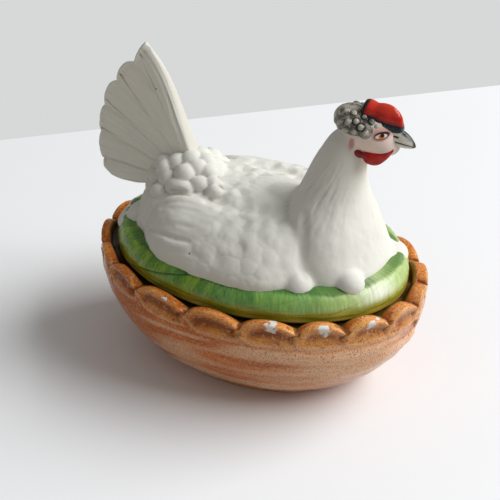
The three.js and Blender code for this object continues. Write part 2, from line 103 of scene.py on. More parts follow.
def bell(away, width):
    """1 where `away` is 0, falling off smoothly over `width` to either side."""
    return np.exp(-((away / width) ** 2))


# Helpers: grids of points, closed lofts and meshes

def circle(count):
    """Even angles once round."""
    return np.linspace(0, TAU, count, endpoint=False)


def columns(*values):
    """Numbers, or arrays of them, side by side as points."""
    return np.stack(np.broadcast_arrays(*values), -1)


def spline(table, count):
    """A table's rows joined by a smooth curve and read off at `count` even steps."""
    rows = np.asarray(table, float)
    padded = np.concatenate([[2 * rows[0] - rows[1]], rows, [2 * rows[-1] - rows[-2]]])
    at = np.linspace(0, len(rows) - 1, count)
    k = np.minimum(at.astype(int), len(rows) - 2)
    t = (at - k).reshape((-1,) + (1,) * (rows.ndim - 1))
    a, b, c, d = (padded[k + i] for i in range(4))
    return 0.5 * (2 * b + (c - a) * t + (2 * a - 5 * b + 4 * c - d) * t**2 + (3 * b - a - 3 * c + d) * t**3)


def evenly(rows, step, soften):
    """Rings of points read off again at even steps along their profile, with the corners softened."""
    rows = np.asarray(rows, float)
    spans = np.linalg.norm(np.diff(rows, axis=0), axis=2).mean(1)
    along = np.concatenate([[0], np.cumsum(spans)])
    want = np.linspace(0, along[-1], int(along[-1] / step) + 1)
    k = np.clip(np.searchsorted(along, want, side="right") - 1, 0, len(rows) - 2)
    t = ((want - along[k]) / np.maximum(spans[k], 1e-9))[:, None, None]
    out = rows[k] * (1 - t) + rows[k + 1] * t
    for _ in range(soften):
        out[1:-1] = 0.25 * out[:-2] + 0.5 * out[1:-1] + 0.25 * out[2:]
    return out


def grid_faces(rows, columns, wrap_rows=False):
    """The quads of a grid whose columns run round and whose rows are stacked."""
    quads = []
    for r in range(rows if wrap_rows else rows - 1):
        s = (r + 1) % rows
        here = r * columns + np.arange(columns)
        there = s * columns + np.arange(columns)
        quads.append(np.stack([here, np.roll(here, -1), np.roll(there, -1), there], 1))
    return np.concatenate(quads)


def loft(rows):
    """A closed surface over stacked rings: its points and faces, with a fan of triangles at each end."""
    rows = np.asarray(rows, float)
    count, around, _ = rows.shape
    points = np.concatenate([rows.reshape(-1, 3), [rows[0].mean(0)], [rows[-1].mean(0)]])
    faces = [tuple(q) for q in grid_faces(count, around)]
    low, high = count * around, count * around + 1
    for i in range(around):
        j = (i + 1) % around
        faces.append((low, j, i))
        faces.append((high, (count - 1) * around + i, (count - 1) * around + j))
    return points, faces


def oval_rows(table, around):
    """Rings from rows of (half length, half width, middle x, height)."""
    t = circle(around)
    return np.array([columns(x + a * np.cos(t), b * np.sin(t), z) for a, b, x, z in table])


def ball(centre, radii, around=24, tilt=0.0):
    """An ellipsoid with its poles along X, tipped about Y."""
    polar = np.linspace(0.02, math.pi - 0.02, around * 2 // 3)
    t = circle(around)
    p, s = np.meshgrid(polar, t, indexing="ij")
    rows = columns(np.cos(p), np.sin(p) * np.cos(s), np.sin(p) * np.sin(s)) * np.asarray(radii, float)
    c, s = math.cos(tilt), math.sin(tilt)
    x, z = rows[..., 0] * c + rows[..., 2] * s, rows[..., 2] * c - rows[..., 0] * s
    return loft(columns(x, rows[..., 1], z) + np.asarray(centre, float))


def make_object(name, points, faces):
    mesh = bpy.data.meshes.new(name)
    mesh.from_pydata((np.asarray(points) * MM).tolist(), [], [tuple(int(i) for i in f) for f in faces])
    mesh.update()
    made = bpy.data.objects.new(name, mesh)
    bpy.context.scene.collection.objects.link(made)
    return made


def points_of(made):
    flat = np.empty(len(made.data.vertices) * 3)
    made.data.vertices.foreach_get("co", flat)
    return flat.reshape(-1, 3) / MM


def set_points(made, points):
    made.data.vertices.foreach_set("co", (points * MM).ravel())
    made.data.update()


def normals_of(made):
    flat = np.empty(len(made.data.vertices) * 3)
    made.data.vertex_normals.foreach_get("vector", flat)
    return flat.reshape(-1, 3)


def apply_modifiers(made):
    """The object's mesh becomes what its modifiers make of it."""
    graph = bpy.context.evaluated_depsgraph_get()
    new = bpy.data.meshes.new_from_object(made.evaluated_get(graph))
    old = made.data
    made.modifiers.clear()
    made.data = new
    bpy.data.meshes.remove(old)


def fused(name, solids, voxel):
    """Overlapping closed solids grown together into one skin of even small faces."""
    points, faces, start = [], [], 0
    for p, f in solids:
        points.append(p)
        faces += [tuple(i + start for i in face) for face in f]
        start += len(p)
    made = make_object(name, np.concatenate(points), faces)
    remesh = made.modifiers.new("fuse", "REMESH")
    remesh.mode = "VOXEL"
    remesh.voxel_size = voxel * MM
    apply_modifiers(made)
    return made


def cut(made, points, faces):
    """Takes a closed solid out of the object."""
    tool = make_object("cutter", points, faces)
    carve = made.modifiers.new("carve", "BOOLEAN")
    carve.operation, carve.solver, carve.object = "DIFFERENCE", "MANIFOLD", tool
    apply_modifiers(made)
    bpy.data.objects.remove(tool)


def edges_of(made):
    flat = np.empty(len(made.data.edges) * 2, int)
    made.data.edges.foreach_get("vertices", flat)
    return flat.reshape(-1, 2)


def neighbour_mean(points, edges):
    """Each point's mean of its neighbours."""
    count = len(points)
    both = np.concatenate([edges, edges[:, ::-1]])
    valence = np.maximum(np.bincount(both[:, 0], minlength=count), 1)
    total = columns(*(np.bincount(both[:, 0], points[both[:, 1], k], count) for k in range(3)))
    return total / valence[:, None]


def relax(made, share, passes):
    """Smooths the surface where `share`, one number a point, is above zero."""
    points, edges = points_of(made), edges_of(made)
    for _ in range(passes):
        points += (neighbour_mean(points, edges) - points) * share[:, None] * 0.6
    set_points(made, points)


def hollowness(made, passes=4):
    """How far each point lies in a crease, from -1 on a crest to 1 in a crease."""
    points, edges, normals = points_of(made), edges_of(made), normals_of(made)
    broad = points.copy()
    for _ in range(passes):
        broad = 0.5 * (broad + neighbour_mean(broad, edges))
    return np.clip(((broad - points) * normals).sum(1) / 0.35, -1, 1)


def brush(points, path, radius):
    """1 on a path through the listed points and 0 beyond `radius` of it."""
    path = np.asarray(path, float).reshape(-1, 3)
    nearest = np.linalg.norm(points - path[0], axis=1)
    for a, b in zip(path[:-1], path[1:]):
        along = np.clip(((points - a) @ (b - a)) / max((b - a) @ (b - a), 1e-9), 0, 1)
        nearest = np.minimum(nearest, np.linalg.norm(points - a - along[:, None] * (b - a), axis=1))
    return np.clip(1 - (nearest / radius) ** 2, 0, 1) ** 2


def give(made, **values):
    """Stores one number a point under each name, for the materials."""
    for name, value in values.items():
        made.data.attributes.new(name, "FLOAT", "POINT").data.foreach_set("value", value.astype(np.float32))


def shade_smooth(made):
    made.data.polygons.foreach_set("use_smooth", [True] * len(made.data.polygons))
    made.data.update()


# Helpers: materials

class Paint:
    """A Principled material and short calls for the nodes that feed it."""

    def __init__(self, name, roughness, bump=0.0, shine=0.5):
        self.material = bpy.data.materials.new(name)
        self.material.use_nodes = True
        self.tree = self.material.node_tree
        self.shader = self.tree.nodes["Principled BSDF"]
        self.shader.inputs["Roughness"].default_value = roughness
        self.shader.inputs["Specular IOR Level"].default_value = shine
        self.bump_height = bump
        self.place = self.node("TexCoord", {}, "Object")

    def node(self, kind, inputs, output=0, **settings):
        """A new node of a kind, with its settings made and its inputs plugged: one of its outputs."""
        made = self.tree.nodes.new("ShaderNode" + kind)
        for key, value in settings.items():
            setattr(made, key, value)
        for key, value in inputs.items():
            self.plug(made.inputs[key], value)
        return made.outputs[output]

    def plug(self, socket, value):
        if isinstance(value, bpy.types.NodeSocket):
            self.tree.links.new(value, socket)
        elif socket.type == "RGBA":
            socket.default_value = (*value, 1.0)
        else:
            socket.default_value = value

    def read(self, *names):
        """The numbers stored on the mesh under the names."""
        return [self.node("Attribute", {}, "Fac", attribute_name=name) for name in names]

    def math(self, operation, a, b=0.0):
        return self.node("Math", {0: a, 1: b}, operation=operation)

    def times(self, a, b):
        return self.math("MULTIPLY", a, b)

    def plus(self, a, b):
        return self.math("ADD", a, b)

    def band(self, value, low, high):
        """0 below low and 1 above high, or the other way round where low is the larger."""
        start, stop = (0.0, 1.0) if high > low else (1.0, 0.0)
        ends = {"From Min": min(low, high), "From Max": max(low, high), "To Min": start, "To Max": stop}
        return self.node("MapRange", {"Value": value, **ends}, "Result", interpolation_type="SMOOTHSTEP")

    def mix(self, share, a, b):
        return self.node("Mix", {"Factor": share, 6: a, 7: b}, 2, data_type="RGBA")

    def lay(self, base, *coats):
        """Coats over a base, in turn: each one's share of the surface, its colour and how strong it is."""
        for share, tone, strength in coats:
            base = self.mix(self.times(share, strength), base, tone)
        return base

    def two_tones(self, value, low, high, first, second):
        """One colour where the value is low and the other where it is high."""
        return self.mix(self.band(value, low, high), first, second)

    def stretch(self, scale):
        return self.node("Mapping", {"Scale": (scale, scale, scale), "Vector": self.place})

    def join(self, x, y):
        return self.node("CombineXYZ", {0: x, 1: y})

    def parts(self, vector):
        """The X, Y and Z of a vector."""
        return [self.node("SeparateXYZ", {0: vector}, axis) for axis in range(3)]

    def speckle(self, scale, detail, place=None, roughness=0.5):
        """Noise from about 0 to 1; scale is in features a metre, or a unit of `place`."""
        inputs = {"Scale": scale, "Detail": detail, "Roughness": roughness, "Vector": place or self.place}
        return self.node("TexNoise", inputs, "Fac")

    def dots(self, scale, output):
        """Scattered points: the distance to the nearest one, or its colour."""
        return self.node("TexVoronoi", {"Scale": scale, "Vector": self.place}, output)

    def finish(self, colour, height=None, roughness=None):
        self.plug(self.shader.inputs["Base Color"], colour)
        if roughness is not None:
            self.plug(self.shader.inputs["Roughness"], roughness)
        if height is not None:
            bump = self.node("Bump", {"Distance": self.bump_height * MM, "Height": height}, "Normal")
            self.plug(self.shader.inputs["Normal"], bump)
        return self.material


def dress(made, material, body, slot, *nodes):
    """Gives the piece its material and body, and hides the CAD nodes that it stands for; the slot is not
    used.
    """
    made.data.materials.clear()
    made.data.materials.append(material)
    shade_smooth(made)
    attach(made, body)
    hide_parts(*nodes)
    return made


# The camera, fitted to the photo: where it stands, what it looks at, its lens and its roll

CAMERA_PLACE = Vector((0.2640962, -0.5327412, 0.4343459))
CAMERA_TARGET = Vector((-0.007349, 0.0, 0.070334))
CAMERA_LENS = 78.725
CAMERA_ROLL = math.radians(1.3159)

camera = bpy.data.objects.new("camera", bpy.data.cameras.new("camera"))
camera.data.lens = CAMERA_LENS
camera.data.clip_start = 0.01
camera.location = CAMERA_PLACE
aim = (CAMERA_TARGET - CAMERA_PLACE).to_track_quat("-Z", "Y")
camera.rotation_mode = "QUATERNION"
camera.rotation_quaternion = aim @ Matrix.Rotation(CAMERA_ROLL, 3, "Z").to_quaternion()
bpy.context.scene.collection.objects.link(camera)
bpy.context.scene.camera = camera
bpy.context.scene.view_settings.view_transform = "Standard"


# The table, the plain backdrop past its far edge, and the light of a window to the right

TABLE_DEPTH = 0.358
TABLE_TURN = math.radians(44.9)
STAGE_HALF = 6.0
STAGE_DEPTH = 8.0
TABLE_COLOUR = (0.915, 0.935, 0.96)
TABLE_SPECKLE = 0.985
TABLE_BOUNCE = (0.52, 0.48, 0.43)
BACKDROP_COLOUR = (0.68, 0.69, 0.685)
BACKDROP_BOUNCE = (0.5, 0.5, 0.49)
WINDOW_AZIMUTH = math.radians(30)
WINDOW_HEIGHT = math.radians(43)
WINDOW_DISTANCE = 4.0
WINDOW_WIDTH = 4.0
WINDOW_TALL = 2.2
WINDOW_POWER = 201
ROOM_LIGHT = (0.262, 0.257, 0.246)


def seen(paint):
    """1 for what the camera sees or a glaze mirrors, and 0 for the light thrown on the dish."""
    rays = (paint.node("LightPath", {}, name) for name in ("Is Camera Ray", "Is Glossy Ray"))
    return paint.math("MAXIMUM", *rays)


def stage_piece(name, corners):
    made = make_object(name, np.array(corners) / MM, [(0, 1, 2, 3)])
    return made


edge_way = Vector((math.cos(TABLE_TURN), math.sin(TABLE_TURN), 0))
far_way = Vector((-edge_way.y, edge_way.x, 0))
ends = [far_way * TABLE_DEPTH - edge_way * STAGE_HALF, far_way * TABLE_DEPTH + edge_way * STAGE_HALF]
far = far_way * STAGE_DEPTH
beyond = stage_piece("floor_beyond", [ends[0], ends[1], ends[1] + far, ends[0] + far])
table = stage_piece("table", [ends[0] - far, ends[1] - far, ends[1], ends[0]])

paint = Paint("table", 0.6)
clean = paint.mix(paint.speckle(9, 3), TABLE_COLOUR, tuple(c * TABLE_SPECKLE for c in TABLE_COLOUR))
table.data.materials.append(paint.finish(paint.mix(seen(paint), TABLE_BOUNCE, clean)))

paint = Paint("floor_beyond", 0.8)
glow = paint.node("Emission", {"Color": BACKDROP_COLOUR})
show = paint.node("MixShader", {0: seen(paint), 1: paint.shader.outputs[0], 2: glow})
paint.plug(paint.tree.nodes["Material Output"].inputs["Surface"], show)
beyond.data.materials.append(paint.finish(BACKDROP_BOUNCE))

window = bpy.data.objects.new("window", bpy.data.lights.new("window", "AREA"))
window.data.shape = "RECTANGLE"
window.data.size = WINDOW_WIDTH
window.data.size_y = WINDOW_TALL
window.data.energy = WINDOW_POWER
window_way = Vector((
    math.cos(WINDOW_AZIMUTH) * math.cos(WINDOW_HEIGHT),
    math.sin(WINDOW_AZIMUTH) * math.cos(WINDOW_HEIGHT),
    math.sin(WINDOW_HEIGHT),
))
window.location = window_way * WINDOW_DISTANCE
window.rotation_mode = "QUATERNION"
window.rotation_quaternion = (-window_way).to_track_quat("-Z", "Y")
bpy.context.scene.collection.objects.link(window)

world = bpy.data.worlds.new("room")
world.use_nodes = True
nodes = world.node_tree.nodes
sky = nodes.new("ShaderNodeMix")
sky.data_type = "RGBA"
sky.inputs[6].default_value = (*ROOM_LIGHT, 1)
sky.inputs[7].default_value = (*BACKDROP_COLOUR, 1)
world.node_tree.links.new(nodes.new("ShaderNodeLightPath").outputs["Is Camera Ray"], sky.inputs[0])
world.node_tree.links.new(sky.outputs[2], nodes["Background"].inputs["Color"])
bpy.context.scene.world = world


# The basket

FOOT = np.array([68.0, 49.5])
RIM = np.array([110.0, 81.5])
BASKET_HEIGHT = 75.5
SEAT_Z = 68.5
BORDER_Z = 58.5
LOBE_RISE = 6.0
LOBE_THICKNESS = 8.5
FRONT_LOBE_THICKER = 2.9
FOOT_BEVEL = 1.5
WELL_MOUTH = np.array([91.3, 65.8])
BASKET_FLOOR = 8.0
BASKET_WALL = 6.0
FLANK_BULGE = 1.6
FRONT_BULGE = 1.1
BASKET_AROUND = 880
BASKET_STEP = 0.7

# The angles, in degrees from +X, at which the eighteen lobes of the rim meet
LOBE_ENDS = np.array([-152, -134, -116, -95, -76, -57, -40, -22, -4, 14, 32, 54, 76, 98, 120, 142, 164, 186])

# A lobe's section, up its face and down its back, as shares of its height and of its thickness
LOBE_FACE_SHARES = [(0.1, 0), (0.5, 0), (0.8, 0), (0.9, 0.04), (0.965, 0.14), (0.99, 0.3), (1, 0.5)]
LOBE_BACK_SHARES = [(0.985, 0.68), (0.93, 0.82), (0.8, 0.92), (0.5, 0.985), (0, 1)]


def wall_oval(share):
    """The basket's half length and half width at a share of the way from the foot to the seat."""
    bulge = np.sin(math.pi / 2 * np.asarray(share) ** 0.84)
    return FOOT[0] + (RIM[0] - FOOT[0]) * bulge, FOOT[1] + (RIM[1] - FOOT[1]) * bulge


def lobe_place(angle):
    """Which lobe an angle lies in, and how far along that lobe as a share."""
    starts = LOBE_ENDS - LOBE_ENDS[0]
    turned = (np.degrees(angle) - LOBE_ENDS[0]) % 360
    number = np.searchsorted(starts, turned, side="right") - 1
    widths = np.diff(np.append(starts, 360))
    return number, (turned - starts[number]) / widths[number]


def lobe_height(share):
    """0 in the notches between two lobes and 1 at a lobe's top."""
    return 1 - np.abs(2 * share**0.9 - 1) ** 2.2


def basket_rows():
    t = circle(BASKET_AROUND)
    h = lobe_height(lobe_place(t)[1])

    def ring(a, b, z):
        return columns(a * np.cos(t), b * np.sin(t), z)

    rows = [ring(*(FOOT * 0.02), 0.6), ring(*(FOOT - 6), 0.0), ring(*(FOOT - FOOT_BEVEL), 0.0)]
    for k in np.linspace(0, 1, 22):
        a, b = wall_oval(k * BORDER_Z / SEAT_Z)
        rows.append(ring(a, b, FOOT_BEVEL + (BORDER_Z - FOOT_BEVEL) * k))
    top = BASKET_HEIGHT - LOBE_RISE * (1 - h)
    thick = LOBE_THICKNESS + FRONT_LOBE_THICKER * ease(0.3, 0.85, np.cos(t))
    for up, over in spline(LOBE_FACE_SHARES, 27):
        z = BORDER_Z + (top - BORDER_Z) * up
        a, b = wall_oval(np.minimum(1, z / SEAT_Z))
        rows.append(ring(a - thick * over, b - thick * over, z))
    for up, over in LOBE_BACK_SHARES:
        rows.append(ring(RIM[0] - thick * over, RIM[1] - thick * over, SEAT_Z + (top - SEAT_Z) * up))
    rows.append(ring(*WELL_MOUTH, SEAT_Z))
    for share in (0.7, 0.4, 0.15):
        a, b = wall_oval(share)
        z = BASKET_FLOOR + (SEAT_Z - BASKET_FLOOR) * share
        rows.append(ring(min(a - BASKET_WALL, WELL_MOUTH[0]), min(b - BASKET_WALL, WELL_MOUTH[1]), z))
    rows.append(ring(*(FOOT - BASKET_WALL), BASKET_FLOOR))
    rows.append(ring(*(FOOT * 0.02), BASKET_FLOOR))
    return evenly(rows, BASKET_STEP, 3)


def basket_piece():
    made = make_object("basket_glazed", *loft(basket_rows()))
    p, n = points_of(made), normals_of(made)
    x, y, z = p.T
    angle = np.arctan2(y / RIM[1], x / RIM[0])
    number, share = lobe_place(angle)
    h = lobe_height(share)
    radius = np.hypot(x / RIM[0], y / RIM[1])
    outward = n[:, 0] * x + n[:, 1] * y
    outside = ease(0.0, 0.25, outward) * (z > 0.4)
    uneven = noise(columns(number * 7.3, 0, 0), 1.0, 71)
    below_top = BASKET_HEIGHT - LOBE_RISE * (1 - h) - z
    swag = 0.8 * uneven + 7 * bell(share, 0.14) * fall(0, 60, x) + 1.5 * ease(0.75, 1.0, share)
    above = z - (BORDER_Z + swag)
    border = ease(-2.5, 1.0, above) * outside

    # The border: each lobe is a thick roll over a hollow, with a thin raised line beneath
    roll = bell(below_top - 1.8, 2.9) * ease(0.85, 0.93, radius)
    middle = ease(0.04, 0.26, share) * fall(0.84, 1.0, share)
    deep = 1.0 - 0.45 * ease(20, 80, x)
    scoop = bell(below_top - 8.2, 3.3) * middle * outside
    festoon = bell(above, 1.25) * outside
    slant = (share + below_top * 0.018 + 0.5) % 1 - 0.5
    crease = bell(slant, 0.035) * fall(7, 11, below_top) * outside

    # The bowl: long shallow folds that lie level and grow stronger towards the front
    below = fall(-6, 0, above) * outside
    x_round = (angle % TAU) * 95
    warp = 5 * noise(columns(x_round, z, 0) / (1, 0.5, 1), 40, 3)
    folds = noise(columns(x_round / 9, z + warp - 0.07 * x_round, 0), 6.0, 4)
    ripple = noise(columns(x_round / 5, z + warp, 0), 2.6, 7)
    woven = (0.45 + 0.8 * ease(-0.1, 0.9, np.cos(angle))) * folds + 0.16 * ripple
    dents = 0.55 * noise(p, 24, 5) + 0.22 * noise(p, 7, 6) + 0.07 * noise(p, 2.2, 9)

    shift = 0.75 * roll - 2.0 * deep * scoop + 0.7 * festoon - 0.9 * crease * border
    bulge = FLANK_BULGE + FRONT_BULGE * ease(0.2, 0.9, np.cos(angle))
    belly = np.sin(math.pi * np.clip(z / BORDER_Z, 0, 1)) * bulge
    shift += woven * below + (dents + belly) * outside - 1.25
    set_points(made, p + n * shift[:, None] * ease(0.4, 1.6, z)[:, None])

    facing = outward / np.hypot(x, y)
    inside = np.maximum(fall(0.912, 0.93, radius), fall(-0.8, -0.45, facing))
    inside = inside * (z > 7) * (n[:, 2] > -0.5) * fall(0.1, 0.4, facing)
    give(
        made,
        lobe=border,
        scoop=np.clip(scoop * (0.55 + 0.45 * deep), 0, 1),
        festoon=np.clip(festoon, 0, 1),
        hollow=hollowness(made, 8) * 0.5 + 0.5,
        inside=inside,
        # gap: the narrow gap just under the seat, which gets painted shade
        gap=inside * fall(SEAT_Z + 0.3, SEAT_Z + 2.5, z) * (1 - 0.6 * ease(70, 100, x)),
        # pale: painted light, 1 on the front right, where the basket is lit
        pale=ease(0.45, 0.97, np.cos(angle + 0.45)) * outside,
        rim=ease(SEAT_Z - 2, BASKET_HEIGHT - 3, z + 4 * (1 - h)) * ease(0.88, 0.93, radius),
        turn=x_round,
        high=z,
        fold=folds * below,
    )
    return made


# Worn spots on the lobes, on the side that the photo shows: where each one is and its radius
CHIPS = [
    (44, -72, 72.5, 2.9), (72.5, -60, 72, 3.0), (93.5, -42, 72, 2.2), (94.5, -36, 74, 1.5),
    (-28.5, -65.5, 75, 2.0), (5, -74, 74, 1.2), (7, -68, 75.5, 1.6), (-58, -60, 75, 1.6),
]


def chip_share(p):
    """1 on the worn spots, whose edges are ragged, and 0 elsewhere."""
    share = np.zeros(len(p))
    ragged = 0.5 * noise(p, 2.4, 81) + 0.3 * noise(p, 1.1, 82)
    for x, y, z, size in CHIPS:
        away = np.linalg.norm((p - (x, y, z)) * (1, 0.8, 0.7), axis=1) / size
        share = np.maximum(share, fall(0.85, 1.05, away + ragged))
    return share


def basket_glaze():
    """Orange bowl, caramel lobes, white wear on the edges, painted light at the front right, dark glaze and
    painted shade in the hollows.
    """
    paint = Paint("basket_glaze", 0.24, bump=0.3, shine=0.2)
    turn, high, lobe, scoop, festoon, hollow = paint.read(
        "turn", "high", "lobe", "scoop", "festoon", "hollow"
    )
    inside, gap, pale, rim, fold, chip = paint.read("inside", "gap", "pale", "rim", "fold", "chip")
    flow = paint.join(paint.times(turn, 0.03), paint.times(high, 0.26))
    streak = paint.speckle(1.0, 5, flow, 0.62)
    fine, grain = paint.speckle(1300, 2), paint.speckle(650, 3)
    patch, broad = paint.speckle(60, 3), paint.speckle(22, 2)
    # Painted light: paler tones for the front right, where the basket is lit
    worn_pale = paint.two_tones(streak, 0.4, 0.6, (0.92, 0.49, 0.25), (0.98, 0.72, 0.52))
    bowl = paint.lay(
        paint.two_tones(streak, 0.36, 0.62, (0.56, 0.11, 0.006), (0.74, 0.23, 0.04)),
        (paint.band(broad, 0.5, 0.64), (0.6, 0.16, 0.015), 0.6),
        (pale, worn_pale, 0.72),
        # Painted highlights along the crests of the folds and painted shade in their troughs
        (paint.band(fold, 0.15, 0.6), (0.92, 0.6, 0.38), 0.7),
        (paint.band(fold, -0.15, -0.6), (0.48, 0.11, 0.012), 0.6),
        (paint.band(high, 17, 5), (0.84, 0.27, 0.035), 0.75),
    )
    caramel = paint.lay(
        paint.two_tones(patch, 0.38, 0.62, (0.56, 0.14, 0.008), (0.8, 0.31, 0.05)),
        # Painted light on the front right of the lobes as well
        (pale, (0.92, 0.52, 0.2), 0.4),
        # Dark glaze pooled under each lobe's roll, deepened with painted shade
        (scoop, (0.2, 0.035, 0.003), 0.85),
        (paint.band(paint.speckle(240, 3), 0.54, 0.66), (0.24, 0.045, 0.004), 0.6),
    )
    olive = paint.two_tones(patch, 0.4, 0.6, (0.17, 0.085, 0.015), (0.28, 0.19, 0.045))
    # White wear in spots along the tops of the lobes
    worn = paint.times(paint.band(rim, 0.75, 0.98), paint.band(paint.speckle(120, 3), 0.69, 0.71))
    colour = paint.lay(
        paint.mix(lobe, bowl, caramel),
        (festoon, (0.84, 0.52, 0.32), 0.55),
        # Darker in the creases and paler on the crests: pooled and thinned glaze, with painted shade and
        # painted light
        (paint.band(hollow, 0.58, 0.95), (0.18, 0.05, 0.012), 0.8),
        (paint.band(hollow, 0.42, 0.15), (0.8, 0.46, 0.22), 0.35),
        (paint.band(fine, 0.52, 0.62), (0.25, 0.06, 0.014), 0.7),
        (paint.band(grain, 0.56, 0.66), (0.82, 0.56, 0.38), 0.5),
        (inside, olive, 0.9),
        # Painted shade: near black down the narrow gap between the cover and the basket's inner wall
        (gap, (0.035, 0.017, 0.005), 0.95),
        (paint.math("MAXIMUM", worn, chip), (0.74, 0.72, 0.69), 1),
    )
    height = paint.plus(paint.times(streak, 0.5), paint.times(grain, 0.16))
    return paint.finish(colour, height, paint.plus(paint.times(grain, 0.2), 0.1))


basket = basket_piece()
give(basket, chip=chip_share(points_of(basket)))
dress(basket, basket_glaze(), "basket", "basket_glaze", "basket")


# The ring of grass

COVER = np.array([97.3, 71.8])
COVER_Z = 68.8
EDGE = 6.0
GRASS_WIDTH = 8.5
GRASS_RISE = 13.0
GRASS_TOP = COVER_Z + EDGE + GRASS_RISE
HEN_BASE = COVER - GRASS_WIDTH
HEN_Z = GRASS_TOP + 0.3
FLANGE = WELL_MOUTH - 1.2
FLANGE_THICKNESS = 4.5
FLANGE_LOW = SEAT_Z - 7
COVER_WALL = 5.0
GRASS_AROUND = 840
GRASS_STEP = 0.6

# Where the long leaves overlap: the angle at which each seam leaves the ring's edge, how far round it runs,
# in degrees, and how deep it is
SEAMS = [
    (-125, 27, 1), (-80, 30, 0.2), (-44, 30, 0.25), (-14, 12, 0.5),
    (28, 28, 1), (74, 26, 1), (118, 30, 1), (165, 26, 1),
]


def dome_rows(grown, steps):
    """(half length, half width, height) up the grass from the cover's edge to the hen."""
    rows = []
    for turn in np.linspace(0, math.pi / 2, steps):
        inset = GRASS_WIDTH * (1 - math.cos(turn)) - grown
        rows.append((*(COVER - inset), COVER_Z + EDGE + GRASS_RISE * math.sin(turn) + grown))
    return rows


def grass_piece():
    t = circle(GRASS_AROUND)
    outline = [
        (*(FLANGE - FLANGE_THICKNESS), FLANGE_LOW),
        (*FLANGE, FLANGE_LOW),
        (*FLANGE, COVER_Z),
        (*(COVER - EDGE * 0.5), COVER_Z),
        (*(COVER - EDGE * 0.1), COVER_Z + EDGE * 0.3),
        (*COVER, COVER_Z + EDGE * 0.7),
        *dome_rows(0, 12),
        (*(HEN_BASE - COVER_WALL * 1.6), GRASS_TOP),
        (*(HEN_BASE - COVER_WALL * 1.6), GRASS_TOP - COVER_WALL),
        (*(FLANGE - FLANGE_THICKNESS), COVER_Z + COVER_WALL * 0.5),
        (*(FLANGE - FLANGE_THICKNESS), FLANGE_LOW),
    ]
    rows = [columns(a * np.cos(t), b * np.sin(t), z) for a, b, z in outline]
    rows = evenly(rows, GRASS_STEP, 2)[:-1]
    made = make_object("grass_ring", rows.reshape(-1, 3), grid_faces(len(rows), GRASS_AROUND, True))
    p, n = points_of(made), normals_of(made)
    x, y, z = p.T
    angle = np.arctan2(y / COVER[1], x / COVER[0])
    run = angle * 85
    radius = np.hypot(x / COVER[0], y / COVER[1])
    rise = z - COVER_Z
    shown = ease(1, 4, rise) * ease(0.86, 0.9, radius)

    # Each leaf ends in a seam that slants up the ring, a step down to the next leaf
    step, seam = np.zeros(len(p)), np.zeros(len(p))
    for start, length, depth in SEAMS:
        ahead = (np.degrees(angle) - start + 180) % 360 - 180
        share = np.clip(ahead / length, 0, 1)
        height = 6.5 + 12.5 * share**1.1
        gap = rise - height
        within = ease(-1, 1, ahead) * fall(length - 1, length + 1, ahead)
        step += within * depth * 0.8 * ease(-0.4, 0.4, gap) * fall(1, 9, gap)
        seam = np.maximum(seam, within * depth * bell(gap + 0.4, 0.7))
    wavy = run + 3.0 * noise(p, 26, 24)
    strokes = noise(columns(wavy, rise * 0.14, 0), 1.3, 21)
    blades = noise(columns(wavy, rise * 0.14, 0), 4.5, 22)
    level = noise(columns(run / 16, rise, 0), 1.7, 25)
    low = fall(6, 11, rise)
    shift = (1 - low) * (0.14 * strokes + 0.24 * blades) + low * 0.22 * level + 0.5 * noise(p, 18, 23)
    shift += step - 0.5 * seam - 0.75
    set_points(made, p + n * (shown * shift)[:, None])
    # A near-white patch on the front right: a painted highlight of the window, over a paler patch of glaze
    worn = bell(np.degrees(angle) + 19, 10) * bell(rise - 14, 4.5)
    give(made, run=wavy, rise=rise + 1.2 * noise(p, 14, 26), seam=seam, level=run, worn=worn)
    return made


def grass_glaze():
    """Brushed green along the leaves, with an ochre hem, a pale front, a painted highlight on the front
    right and dark seams.
    """
    paint = Paint("grass_glaze", 0.11, bump=0.2, shine=0.3)
    run, rise, seam, level, worn = paint.read("run", "rise", "seam", "level", "worn")
    x = paint.parts(paint.place)[0]
    across = paint.join(run, paint.times(rise, 0.14))
    fine = paint.speckle(1.7, 4, across, 0.68)
    broad = paint.speckle(0.17, 4, across, 0.6)
    patch = paint.speckle(0.06, 2, across)
    lengthwise = paint.speckle(1.0, 3, paint.join(paint.times(level, 0.045), paint.times(rise, 0.8)))
    green_front = paint.times(paint.band(x, -0.01, 0.03), paint.band(x, 0.08, 0.05))
    ochre = paint.two_tones(lengthwise, 0.38, 0.62, (0.24, 0.22, 0.008), (0.46, 0.35, 0.02))
    hem = paint.band(paint.plus(rise, paint.times(broad, 4.0)), 13.5, 7.5)
    edge = paint.band(paint.plus(rise, paint.times(lengthwise, 2.0)), 4.6, 3.4)
    line = paint.band(paint.plus(rise, paint.times(fine, 2.4)), 18.6, 20.0)
    colour = paint.lay(
        paint.two_tones(broad, 0.35, 0.65, (0.085, 0.25, 0.015), (0.29, 0.48, 0.06)),
        (paint.band(patch, 0.5, 0.66), (0.13, 0.4, 0.14), 0.5),
        (paint.band(fine, 0.5, 0.64), (0.03, 0.13, 0.008), 0.75),
        (paint.band(fine, 0.46, 0.32), (0.52, 0.64, 0.18), 0.45),
        (paint.band(x, 0.035, 0.085), (0.52, 0.66, 0.25), 0.72),
        (green_front, (0.19, 0.45, 0.17), 0.4),
        # The painted highlight on the front right, over a paler patch of glaze
        (worn, (0.92, 0.94, 0.82), 0.9),
        (hem, ochre, 0.92),
        (edge, (0.45, 0.27, 0.06), 0.6),
        (paint.band(rise, 1.4, 0.4), (0.55, 0.46, 0.32), 1),
        (line, (0.03, 0.13, 0.025), 0.7),
        (paint.band(seam, 0.2, 0.9), (0.025, 0.1, 0.02), 0.75),
    )
    return paint.finish(colour, paint.plus(fine, paint.times(broad, 0.6)))


dress(grass_piece(), grass_glaze(), "cover", "grass_glaze", "nest_cover")


# The hen's body

